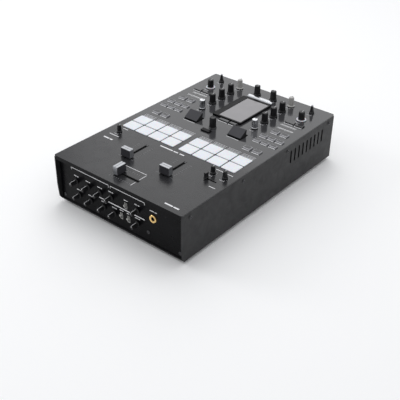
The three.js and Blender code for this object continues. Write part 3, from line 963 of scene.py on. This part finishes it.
class MIXER_OT_pads(bpy.types.Operator):
    """Model the performance pads"""

    bl_idname = "mixer.pads"
    bl_label = "Performance pads"

    def execute(self, context):
        cap = pad_cap()
        for side in ("left", "right"):
            for number in range(1, 9):
                node = f"pad_{side}_{number}"
                centre = middle(node)
                piece = copy_of(cap, (centre.x, centre.y, 0))
                seat(piece, f"{node}_cap", node, "pad_white", node)
        discard(cap)
        return {"FINISHED"}


CENTRE_KEYS = 35 * MM
REAR_KEYS = 118 * MM
SHIFT_SIZE = (18, 8)
SHIFT_PLACE = (0.5 * MM, 11.5 * MM, 0)


def button_cap(width, depth, dark, root=2.0):
    """A rounded key cap: grey with a light rim and light sides that are painted highlight, or
    black-sided with a polished top.
    """
    low = PLATE_TOP - root * MM
    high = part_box("button_keypad")[1].z
    grow = 0.1 * MM
    half_w, half_d = width / 2 + grow, depth / 2 + grow
    cap = block((-half_w, -half_d, low), (half_w, half_d, high + grow))
    round_corners(cap, 0.8 * MM, segments=3)
    soften(inset_top(cap, 0.75, 0.25), 0.14 * MM, 2, 20)

    def part(centre, normal):
        rim = 0.7 * MM
        inside = abs(centre.x) < half_w - rim and abs(centre.y) < half_d - rim
        return 0 if inside and normal.z > 0.5 else 1

    if dark:
        # The black sides are partly the keys' own black and partly painted shade on their front
        # faces.
        return paint(
            cap, "plate_lacquer", "black_plastic", choice=lambda c, n: 0 if n.z > FACING else 1
        )
    return paint(cap, "key_grey", "painted_key_highlight", choice=part)


class MIXER_OT_buttons(bpy.types.Operator):
    """Model the small push buttons over the rubber keypad"""

    bl_idname = "mixer.buttons"
    bl_label = "Push buttons"

    def execute(self, context):
        caps = keypad_caps()
        for number, (centre, width, depth) in enumerate(caps, 1):
            dark = abs(centre.x) < CENTRE_KEYS or centre.y > REAR_KEYS
            cap = button_cap(width, depth, dark)
            cap.data.transform(Matrix.Translation((centre.x, centre.y, 0)))
            seat(cap, f"push_button_{number:02d}", ROOT, "button")
        width, depth = SHIFT_SIZE
        shift = button_cap(width * MM, depth * MM, True, 0)
        shift.data.transform(Matrix.Translation(SHIFT_PLACE))
        seat(paint(shift, "panel_gloss"), "shift_button", ROOT, "button")
        # The keypad takes the light grey of the painted key highlight.
        frame["nodes"]["button_keypad"].data.materials.clear()
        frame["nodes"]["button_keypad"].data.materials.append(finish("painted_key_highlight"))
        return {"FINISHED"}


# ---- Knobs --------------------------------------------------------------

# Radius and height above the plate, in millimetres, and the grip's lowest and highest ring
KNOB_STYLES = {
    "tone": dict(
        rings=[(6.2, 0.6), (7.0, 0.9), (7.0, 2.2), (6.5, 2.9), (5.65, 3.3), (5.15, 17.2),
               (4.9, 18.0), (4.3, 18.4), (3.5, 18.5), (3.2, 18.3)],
        grip=(3.3, 17.2), skin="knob_rubber", foot="knob_rubber", foot_top=0,
    ),
    "trim": dict(
        rings=[(5.4, 0.6), (6.4, 0.9), (6.4, 1.5), (5.9, 2.2), (5.1, 2.9), (4.5, 15.9),
               (4.2, 16.9), (3.6, 17.6), (2.8, 17.9), (1.6, 18.0)],
        grip=(2.9, 15.9), skin="cap_grey", foot="knob_rubber", foot_top=0.8,
    ),
    "filter": dict(
        rings=[(5.3, 0.6), (5.9, 0.9), (5.9, 1.9), (5.5, 2.6), (5.3, 3.0), (5.05, 16.2),
               (4.8, 17.0), (4.3, 17.5), (3.4, 17.6), (3.2, 17.4)],
        grip=(3.0, 16.2), skin="bright_chrome", foot="knob_rubber", foot_top=2.4,
    ),
    "selector": dict(
        rings=[(7.8, 0.6), (8.7, 0.8), (8.7, 1.5), (8.4, 1.9), (6.0, 2.0), (5.7, 2.6),
               (5.25, 14.8), (5.0, 15.5), (4.4, 15.9), (3.6, 16.0), (3.4, 15.8)],
        grip=(2.6, 14.8), skin="knob_rubber", foot="light_ring", foot_top=2.0,
    ),
    "thin": dict(
        rings=[(4.3, 0.6), (4.8, 0.8), (4.8, 2.0), (4.3, 2.9), (3.6, 3.6), (1.95, 14.0),
               (1.9, 14.3), (1.85, 15.2), (1.5, 15.7), (0.8, 15.9)],
        grip=None, skin="knob_rubber", foot="knob_rubber", foot_top=0,
    ),
    "browse": dict(
        rings=[(6.0, 0.6), (6.6, 0.9), (6.6, 1.7), (6.2, 2.4), (5.8, 2.9), (5.5, 18.6),
               (5.2, 19.5), (4.7, 19.9), (4.1, 20.0), (3.7, 19.6), (1.0, 19.3)],
        grip=(2.9, 18.6), skin="knob_rubber", foot="bright_chrome", foot_top=2.0,
    ),
    "small": dict(
        rings=[(4.1, 0.6), (4.6, 0.8), (4.6, 1.9), (4.0, 2.6), (3.7, 3.0), (3.3, 11.8),
               (3.1, 12.5), (2.7, 12.9), (2.1, 13.0), (1.9, 12.8)],
        grip=(3.0, 11.8), skin="knob_rubber", foot="knob_rubber", foot_top=0,
    ),
    "front": dict(
        rings=[(3.0, -6.0), (3.0, 0.5), (4.1, 0.6), (4.6, 0.8), (4.6, 1.8), (3.9, 2.7),
               (3.7, 3.0), (3.4, 12.8), (3.1, 13.5), (2.6, 13.9), (1.9, 14.0), (1.7, 13.8)],
        grip=(3.0, 12.8), skin="knob_rubber", foot="knob_rubber", foot_top=0,
    ),
}
THIN_TIP = 14.2 * MM
FLUTE_DEPTH = 0.09
POINTER_HALF = 0.42
POINTER_PROUD = 0.12


def style_of(node):
    for word in ("trim", "filter", "browse", "front"):
        if word in node:
            return word
    if "effect_selector" in node:
        return "selector"
    if "input_selector" in node:
        return "thin"
    if node in ("mic_knob", "booth_knob", "phones_knob"):
        return "small"
    return "tone"


def knob(style):
    """A turned knob with a fluted grip, a white pointer and a foot of its own finish."""
    spec = KNOB_STYLES[style]
    sides = sizes().flutes * 2
    body = turned(spec["rings"], sides)
    crown = max(height for _, height in spec["rings"])
    if spec["grip"]:
        flute(body, *spec["grip"], sides, FLUTE_DEPTH)
    smooth(body, 28)
    foot_top = spec["foot_top"] * MM
    paint(body, spec["skin"], spec["foot"], choice=lambda c, n: 1 if c.z < foot_top else 0)
    if style == "thin":
        return paint(
            body, "knob_rubber", "cap_silver", choice=lambda c, n: 1 if c.z > THIN_TIP else 0
        )
    if style == "browse":
        return body
    low, high = spec["grip"]
    base_radius = next(r for r, z in spec["rings"] if z == low)
    top_radius = next(r for r, z in spec["rings"] if z == high)
    half, rim = POINTER_HALF, top_radius - 0.5
    top = mm_block((-half, 0.6, crown - 0.3), (half, rim, crown + POINTER_PROUD))
    side = mm_block((-half, rim, low + 1), (half, top_radius + POINTER_PROUD, high + 0.3))
    choose(side, lambda place: place.z < (low + 2) * MM, "VERT")
    bpy.ops.transform.translate(value=(0, (base_radius - top_radius) * MM, 0))
    leave_edit()
    mark = "black_plastic" if style in ("trim", "filter") else "white_ink"
    for strip in (top, side):
        soften(strip, 0.1 * MM, 1)
        paint(strip, mark)
    return join(body, top, side)


class MIXER_OT_knobs(bpy.types.Operator):
    """Model the turning controls on the plate"""

    bl_idname = "mixer.knobs"
    bl_label = "Knobs"

    def execute(self, context):
        patterns = {}
        for node in knob_nodes():
            style = style_of(node)
            if style not in patterns:
                patterns[style] = knob(style)
            low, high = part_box(node)
            place = ((low.x + high.x) / 2, (low.y + high.y) / 2, PLATE_TOP)
            piece = copy_of(patterns[style], place)
            slots = {"trim": "knob_grey", "filter": "chrome"}
            seat(piece, f"{node}_grip", node, slots.get(style, "knob_black"), node)
        discard(*patterns.values())
        return {"FINISHED"}


# ---- Faders and paddles -------------------------------------------------


def fader_cap(long=19.5, short=10.0, rise=15.0):
    """A waisted cap with a silver top, made to travel along y."""
    height = 3.2
    cap = mm_block((-long / 2, -short / 2, 1.2), (long / 2, short / 2, height))
    choose(cap, lambda centre, normal: normal.z > FACING)
    for next_height, across, along in ((8.2, 0.985, 0.9), (13.4, 0.985, 1.02), (rise, 0.99, 1.0)):
        extrude_up((next_height - height) * MM)
        bpy.ops.transform.resize(value=(across, along, 1), center_override=(0, 0, next_height * MM))
        height = next_height
    leave_edit()
    soften(cap, 0.55 * MM, 3, 25)
    paint(
        cap,
        "slate_plastic",
        "cap_silver",
        choice=lambda c, n: 1 if abs(n.x) > 0.8 or (c.z > (rise - 1.5) * MM and n.z > 0.25) else 0,
    )
    reach = long / 2 * 0.93
    line = mm_block((-reach, -0.3, rise - 0.2), (reach, 0.3, rise + 0.1))
    paint(soften(line, 0.08 * MM, 1), "black_plastic")
    return join(cap, line)


def fader_stem():
    stem = mm_block((-0.9, -2, -8.6), (0.9, 2, 2))
    return paint(soften(stem, 0.15 * MM, 1), "plated_steel")


class MIXER_OT_faders(bpy.types.Operator):
    """Model the fader caps and the cue slider's cap"""

    bl_idname = "mixer.faders"
    bl_label = "Faders"

    def execute(self, context):
        cap = join(fader_cap(), fader_stem())
        turns = {"channel_fader_left": 0, "channel_fader_right": 0, "crossfader": math.pi / 2}
        for node, turn in turns.items():
            centre = middle(node)
            piece = copy_of(cap, (centre.x, centre.y, PLATE_TOP), turn)
            seat(piece, f"{node}_cap", node, "slate", node)
        discard(cap)
        low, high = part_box("cue_slider")
        nub = block((low.x, low.y, PLATE_TOP + 1 * MM), (high.x, high.y, PLATE_TOP + 2.6 * MM))
        soften(inset_top(nub, 0.7, 8.2, extrude=True), 0.3 * MM, 2)
        paint(nub, "black_plastic")
        seat(nub, "cue_slider_cap", "cue_slider", "knob_black", "cue_slider")
        return {"FINISHED"}


class MIXER_OT_paddles(bpy.types.Operator):
    """Model the two effect paddles"""

    bl_idname = "mixer.paddles"
    bl_label = "Effect paddles"

    def execute(self, context):
        for side in ("left", "right"):
            node = f"effect_paddle_{side}"
            paddle = from_node(node, 0.5 * MM, 3, 30)
            paint(
                paddle,
                "slate_plastic",
                "black_plastic",
                choice=lambda c, n: 1 if abs(n.x) > 0.6 or c.z < PLATE_TOP + 1.3 * MM else 0,
            )
            seat(paddle, f"{node}_blade", node, "slate", node)
        return {"FINISHED"}


# ---- Screen -------------------------------------------------------------


class MIXER_OT_screen(bpy.types.Operator):
    """Model the screen, its housing and the bright bar behind it"""

    bl_idname = "mixer.screen"
    bl_label = "Screen"

    def execute(self, context):
        housing = from_node("screen_housing", 0.5 * MM, 3, 30)
        bar_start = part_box("screen_housing")[1].y - 10.8 * MM
        paint(
            housing,
            "panel_gloss",
            "bar_satin",
            choice=lambda c, n: 1 if c.y > bar_start and c.z > PLATE_TOP + 2 * MM else 0,
        )
        seat(housing, "screen_bezel", ROOT, "gloss", "screen_housing")
        low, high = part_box("screen_glass")
        glass = soften(inset_top(block(low, high), 1.2, 0.06), 0.2 * MM, 2)
        paint(glass, "screen_face")
        seat(glass, "screen_panel", ROOT, "screen", "screen_glass")
        return {"FINISHED"}


# ---- Front panel --------------------------------------------------------

FRONT_KNOB_PLACES = [
    (-92, 52), (-66, 52), (-40, 52), (-16, 54), (-88, 28), (-62, 28), (-33, 29), (-10, 28),
]
FRONT_SCREWS = [(-122, 78), (122, 78), (-122, 16), (122, 16), (60, 25)]
FRONT_SWITCHES = [(15, 52), (5, 30), (20, 30)]


def front_marks():
    bars = [(-61.5, 75, 82, 3.0), (18.5, 75, 70, 3.0), (5, 43.5, 95, 1.7)]
    for x, z in FRONT_KNOB_PLACES + [(38, 54), (38, 30)]:
        bars += label(x, z + 9.5, 10)
    for x, z in FRONT_SWITCHES:
        bars += label(x, z + 9.5, 8)
    bars += label(70.5, 66, 14)
    for x in (-102, -20.5, -16.5, 53.5):
        bars.append((x, 72.5, 0.7, 5))
    return bars


def slide_switch():
    """A grey nub in a bright-lipped slot, made about +Z."""
    frame_plate = inset_top(mm_block((-2.6, -5.4, 0), (2.6, 5.4, 0.5)), 0.8, -0.35)
    soften(frame_plate, 0.12 * MM, 1)
    paint(
        frame_plate,
        "cap_grey",
        "black_plastic",
        choice=lambda c, n: 1 if c.z < 0.3 * MM and n.z > 0.5 else 0,
    )
    nub = mm_block((-1.4, 0.4, 0.1), (1.4, 3.4, 4.2))
    soften(nub, 0.3 * MM, 2)
    paint(nub, "cap_grey")
    return join(frame_plate, nub)


def jack_collar():
    """Gold ring of the headphone socket with its dark bore, made about +Z."""
    rings = [(4.2, -18.6), (4.2, -1.4), (6.6, -1.4), (6.6, 0.2), (6.1, 0.9), (4.6, 1.0),
             (3.9, 0.7), (3.3, 0.2), (3.3, -18), (0.5, -18.1)]
    collar = smooth(turned(rings, 40), 30)

    def part(centre, normal):
        return 1 if centre.z < -1.5 * MM or math.hypot(centre.x, centre.y) < 3.2 * MM else 0

    return paint(collar, "gold_plate", "black_plastic", choice=part)


class MIXER_OT_front_panel(bpy.types.Operator):
    """Model the front panel with its knobs, switches and headphone socket"""

    bl_idname = "mixer.front_panel"
    bl_label = "Front panel"

    def execute(self, context):
        panel = paint(from_node("front_panel", 0.2 * MM, 1, 60), "panel_gloss")
        seat(panel, "front_fascia", ROOT, "gloss", "front_panel")
        marks = paint(printed(front_marks()), "white_ink")
        stand_out(marks, (0, FRONT_FACE - PRINT_LIFT, 0))
        seat(marks, "front_marks", ROOT, "button")
        pattern = knob("front")
        for number, (x, z) in enumerate(FRONT_KNOB_PLACES, 1):
            piece = copy_of(pattern)
            stand_out(piece, (x * MM, FRONT_FACE, z * MM))
            seat(piece, f"front_trimmer_{number}", ROOT, "knob_black")
        for node in ("front_knob_mix", "front_knob_level"):
            piece = copy_of(pattern)
            centre = middle(node)
            stand_out(piece, (centre.x, FRONT_FACE, centre.z))
            seat(piece, f"{node}_grip", node, "knob_black", node)
        discard(pattern)
        places = [(x * MM, FRONT_FACE, z * MM) for x, z in FRONT_SWITCHES]
        seat_many(slide_switch(), places, "front_switch", "knob_grey", "front")
        jack = middle("headphone_jack")
        collar = stand_out(jack_collar(), (jack.x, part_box("headphone_jack")[0].y + 1 * MM, jack.z))
        seat(collar, "headphone_collar", ROOT, "brass", "headphone_jack")
        places = [(x * MM, FRONT_FACE, z * MM) for x, z in FRONT_SCREWS]
        seat_many(screw_head(), places, "front_screw", "steel", "front")
        return {"FINISHED"}


# ---- Chassis ------------------------------------------------------------


class MIXER_OT_chassis(bpy.types.Operator):
    """Model the chassis tray with its vents and screws"""

    bl_idname = "mixer.chassis"
    bl_label = "Chassis"

    def execute(self, context):
        tray = from_node("chassis")
        cutters = []
        for step in range(9):
            y = (70 + step * 12) * MM
            through = SIDE_X + 3 * MM
            slot = block((-through, y, 50 * MM), (through, y + 4 * MM, 74 * MM))
            cutters.append(round_corners(slot, 1.9 * MM, axis=0))
        for step in range(11):
            x = (-60 + step * 12) * MM
            slot = block((x - 2 * MM, -60 * MM, 0), (x + 2 * MM, 20 * MM, 12 * MM))
            cutters.append(round_corners(slot, 1.9 * MM, axis=2))
        cut_with(tray, join(*cutters))
        soften(tray, 0.3 * MM, 2, 50)
        paint(tray, "chassis_powder")
        seat(tray, "chassis_tray", ROOT, "chassis", "chassis")
        head = screw_head()
        number = 0
        for side, towards in ((-1, "left"), (1, "right")):
            for y in (-185, -60, 60, 188):
                number += 1
                piece = copy_of(head)
                stand_out(piece, (side * SIDE_X, y * MM, 78 * MM), towards)
                seat(piece, f"side_screw_{number}", ROOT, "steel")
        discard(head)
        return {"FINISHED"}


class MIXER_OT_feet(bpy.types.Operator):
    """Model the rubber feet"""

    bl_idname = "mixer.feet"
    bl_label = "Feet"

    def execute(self, context):
        rings = [(11, 5.9), (11, 4.6), (10.6, 2.0), (10.0, 0.5), (9.3, 0), (5.6, 0), (5.0, 0.5),
                 (4.8, 2.6), (0.6, 2.7)]
        foot = smooth(turned(rings, 48), 30)

        def part(centre, normal):
            at_screw = math.hypot(centre.x, centre.y) < 3 * MM
            return 1 if at_screw and 2 * MM < centre.z < 4 * MM else 0

        paint(foot, "foot_rubber", "screw_steel", choice=part)
        for along in ("front", "rear"):
            for side in ("left", "right"):
                node = f"foot_{along}_{side}"
                centre = middle(node)
                piece = copy_of(foot, (centre.x, centre.y, 0))
                seat(piece, f"{node}_rubber", ROOT, "rubber", node)
        discard(foot)
        return {"FINISHED"}


# ---- Rear ---------------------------------------------------------------

PHONO_XS = (24, 42, 60, 78)
PHONO_ZS = (62, 40)
BALANCED_XS = (-36, -6)
BALANCED_Z = 51
COMPUTER_X = 104
COMPUTER_ZS = (62, 40)
INLET_PLACE = (-98, 50)
GROUND_POST = [
    (3.6, 0), (3.6, 1), (2.4, 1.2), (2.4, 2.2), (4.2, 2.4), (4.2, 6.4), (3.6, 7), (0.6, 7.1),
]


def phono_socket(insert):
    """A gold barrel with a coloured insulator, made about +Z."""
    base = smooth(turned([(5.4, 0), (5.4, 0.9), (5.0, 1.3), (4.3, 1.35)], 32), 30)
    paint(base, insert)
    rings = [(4.2, 0.4), (4.2, 7.4), (4.0, 7.9), (3.3, 8.0), (3.1, 7.6), (3.1, 3.2), (1.9, 3.2),
             (1.9, 7.4), (1.7, 7.5), (1.3, 7.5), (1.3, 2.5)]
    barrel = smooth(turned(rings, 32), 30)

    def part(centre, normal):
        within = 1.2 * MM < math.hypot(centre.x, centre.y) < 3.2 * MM
        return 1 if within and centre.z < 7.6 * MM else 0

    return join(base, paint(barrel, "gold_plate", insert, choice=part))


def balanced_socket():
    """A square black flange with a round shell and three pins, made about +Z."""
    flange = round_corners(mm_block((-13, -15.5, 0), (13, 15.5, 1.2)), 2.5 * MM)
    cut_with(flange, turned([(10.4, -1), (10.4, 3)], 48))
    soften(flange, 0.3 * MM, 2)
    paint(flange, "black_plastic")
    rings = [(10, -11), (10, 1.3), (11.3, 1.35), (11.3, 1.8), (10.9, 2.1), (9.6, 2.1),
             (9.2, 1.7), (9.2, -10), (0.6, -10.1)]
    shell = smooth(turned(rings, 48), 30)
    paint(shell, "plated_steel", "black_plastic", choice=lambda c, n: 1 if c.z < -9 * MM else 0)
    pieces = [shell]
    radius = 4.6 * MM
    for step in range(3):
        angle = math.radians(90 + 120 * step)
        place = (radius * math.cos(angle), radius * math.sin(angle), 0)
        pin = smooth(turned([(1.15, -10), (1.15, -1.6), (0.8, -0.9), (0.3, -0.6)], 16), 40)
        pin.data.transform(Matrix.Translation(place))
        pieces.append(paint(pin, "gold_plate"))
    head = screw_head()
    for corner in (-1, 1):
        pieces.append(copy_of(head, (corner * 9.6 * MM, corner * 12.2 * MM, 1.0 * MM)))
    discard(head)
    return join(flange, *pieces)


def computer_socket():
    """A plated shell round a white tongue, made about +Z."""
    shell = inset_top(mm_block((-6, -5.5, -7), (6, 5.5, 1)), 1.1, -7, extrude=True)
    soften(shell, 0.2 * MM, 2)
    paint(
        shell,
        "plated_steel",
        "black_plastic",
        choice=lambda c, n: 1 if c.z < -5 * MM and n.z > 0.5 else 0,
    )
    tongue = soften(mm_block((-2.6, -1.4, -6.2), (2.6, 1.4, 0)), 0.3 * MM, 2)
    paint(tongue, "socket_white")
    return join(shell, tongue)


def mains_inlet():
    """A flanged inlet with three blades in its cavity, made about +Z."""
    flange = round_corners(mm_block((-23, -12, 0), (23, 12, 1.6)), 3 * MM)
    cut_with(flange, mm_block((-14.7, -10.7, -1), (14.7, 10.7, 3)))
    soften(flange, 0.35 * MM, 2)
    paint(flange, "black_plastic")
    collar = mm_block((-14.6, -10.6, -12), (14.6, 10.6, 2.6))
    soften(inset_top(collar, 2.4, -13.6, extrude=True), 0.4 * MM, 2)
    paint(collar, "black_plastic")
    pieces = [collar]
    for x, y in ((-7, -2), (0, 3), (7, -2)):
        blade = mm_block((x - 1, y - 2.2, -12), (x + 1, y + 2.2, -1.5))
        pieces.append(paint(soften(blade, 0.4 * MM, 2), "plated_steel"))
    head = screw_head()
    for side in (-1, 1):
        pieces.append(copy_of(head, (side * 18.6 * MM, 0, 1.5 * MM)))
    discard(head)
    return join(flange, *pieces)


def seat_at_rear(pattern, places, name, slot):
    seat_many(pattern, [(x * MM, REAR_FACE, z * MM) for x, z in places], name, slot, "rear")


class MIXER_OT_rear_panel(bpy.types.Operator):
    """Model the rear panel and its sockets"""

    bl_idname = "mixer.rear_panel"
    bl_label = "Rear panel"

    def execute(self, context):
        panel = paint(from_node("rear_panel", 0.15 * MM, 1, 60), "chassis_powder")
        seat(panel, "rear_fascia", ROOT, "chassis", "rear_panel")
        board = from_node("rear_sockets")
        inner, outer = REAR_FACE - 14 * MM, REAR_FACE + 20 * MM
        cut_with(board, block((-SIDE_X, inner, 0), (SIDE_X, outer, PLATE_TOP)))
        seat(paint(board, "board_mask"), "jack_board", ROOT, "gloss", "rear_sockets")
        upper = [(x, PHONO_ZS[0]) for x in PHONO_XS]
        lower = [(x, PHONO_ZS[1]) for x in PHONO_XS]
        seat_at_rear(phono_socket("socket_white"), upper, "phono_upper", "brass")
        seat_at_rear(phono_socket("socket_red"), lower, "phono_lower", "brass")
        outputs = [(x, BALANCED_Z) for x in BALANCED_XS]
        seat_at_rear(balanced_socket(), outputs, "balanced_output", "chassis")
        ports = [(COMPUTER_X, z) for z in COMPUTER_ZS]
        seat_at_rear(computer_socket(), ports, "computer_socket", "steel")
        seat_at_rear(mains_inlet(), [INLET_PLACE], "mains_inlet", "gloss")
        post = turned(GROUND_POST, 24)
        flute(post, 2.4, 6.4, 24, 0.06)
        paint(smooth(post, 28), "plated_steel")
        seat_at_rear(post, [(51, 22)], "ground_post", "steel")
        low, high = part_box("power_button")
        size = high - low
        button = block((-size.x / 2, -size.z / 2, -5 * MM), (size.x / 2, size.z / 2, 4.6 * MM))
        round_corners(button, 1.2 * MM)
        soften(inset_top(button, 1.2, 0.4), 0.3 * MM, 2)
        paint(button, "black_plastic")
        centre = middle("power_button")
        stand_out(button, (centre.x, REAR_FACE, centre.z), "rear")
        seat(button, "power_button_cap", "power_button", "knob_black", "power_button")
        bars = []
        for x in PHONO_XS:
            bars += label(-x, 73, 12) + label(-x, 51, 9)
        for x in (*BALANCED_XS, -67, INLET_PLACE[0], COMPUTER_X):
            bars += label(-x, 73, 14)
        bars += [(-51, 79, 66, 0.7), (27.5, 79, 41, 0.7)]
        marks = paint(printed(bars), "printed_ink")
        stand_out(marks, (0, REAR_FACE + PRINT_LIFT, 0), "rear")
        seat(marks, "rear_marks", ROOT, "button")
        head = screw_head()
        corners = [(x, z) for x in (-124, 0, 124) for z in (14, 80)]
        seat_at_rear(head, corners, "rear_screw", "steel")
        return {"FINISHED"}


class MIXER_OT_inside(bpy.types.Operator):
    """Finish the board and power supply inside"""

    bl_idname = "mixer.inside"
    bl_label = "Inside"

    def execute(self, context):
        for node, name in (("control_board", "board_mask"), ("power_supply", "plated_steel")):
            mesh = frame["nodes"][node].data
            mesh.materials.clear()
            mesh.materials.append(finish(name))
        return {"FINISHED"}


# ---- Panel and registration ---------------------------------------------

OPERATORS = (
    MIXER_OT_stage,
    MIXER_OT_plate,
    MIXER_OT_pads,
    MIXER_OT_buttons,
    MIXER_OT_knobs,
    MIXER_OT_faders,
    MIXER_OT_paddles,
    MIXER_OT_screen,
    MIXER_OT_front_panel,
    MIXER_OT_chassis,
    MIXER_OT_feet,
    MIXER_OT_rear_panel,
    MIXER_OT_inside,
)


class MIXER_PT_pieces(bpy.types.Panel):
    """Lists the steps that build the mixer"""

    bl_idname = "MIXER_PT_pieces"
    bl_label = "Scratch mixer"
    bl_space_type = "VIEW_3D"
    bl_region_type = "UI"
    bl_category = "Mixer"

    def draw(self, context):
        for group in (context.scene.mixer_sizes, context.scene.mixer_colours):
            for name in group.__annotations__:
                self.layout.prop(group, name)
        for operator in OPERATORS:
            self.layout.operator(operator.bl_idname)


CLASSES = (MixerSizes, MixerColours, *OPERATORS, MIXER_PT_pieces)


def register():
    for item in CLASSES:
        bpy.utils.register_class(item)
    bpy.types.Scene.mixer_sizes = bpy.props.PointerProperty(type=MixerSizes)
    bpy.types.Scene.mixer_colours = bpy.props.PointerProperty(type=MixerColours)


def unregister():
    del bpy.types.Scene.mixer_colours
    del bpy.types.Scene.mixer_sizes
    for item in reversed(CLASSES):
        bpy.utils.unregister_class(item)


def main():
    register()
    bpy.ops.mixer.stage()
    bpy.ops.mixer.plate()
    bpy.ops.mixer.pads()
    bpy.ops.mixer.buttons()
    bpy.ops.mixer.knobs()
    bpy.ops.mixer.faders()
    bpy.ops.mixer.paddles()
    bpy.ops.mixer.screen()
    bpy.ops.mixer.front_panel()
    bpy.ops.mixer.chassis()
    bpy.ops.mixer.feet()
    bpy.ops.mixer.rear_panel()
    bpy.ops.mixer.inside()


if __name__ == "__main__":
    main()
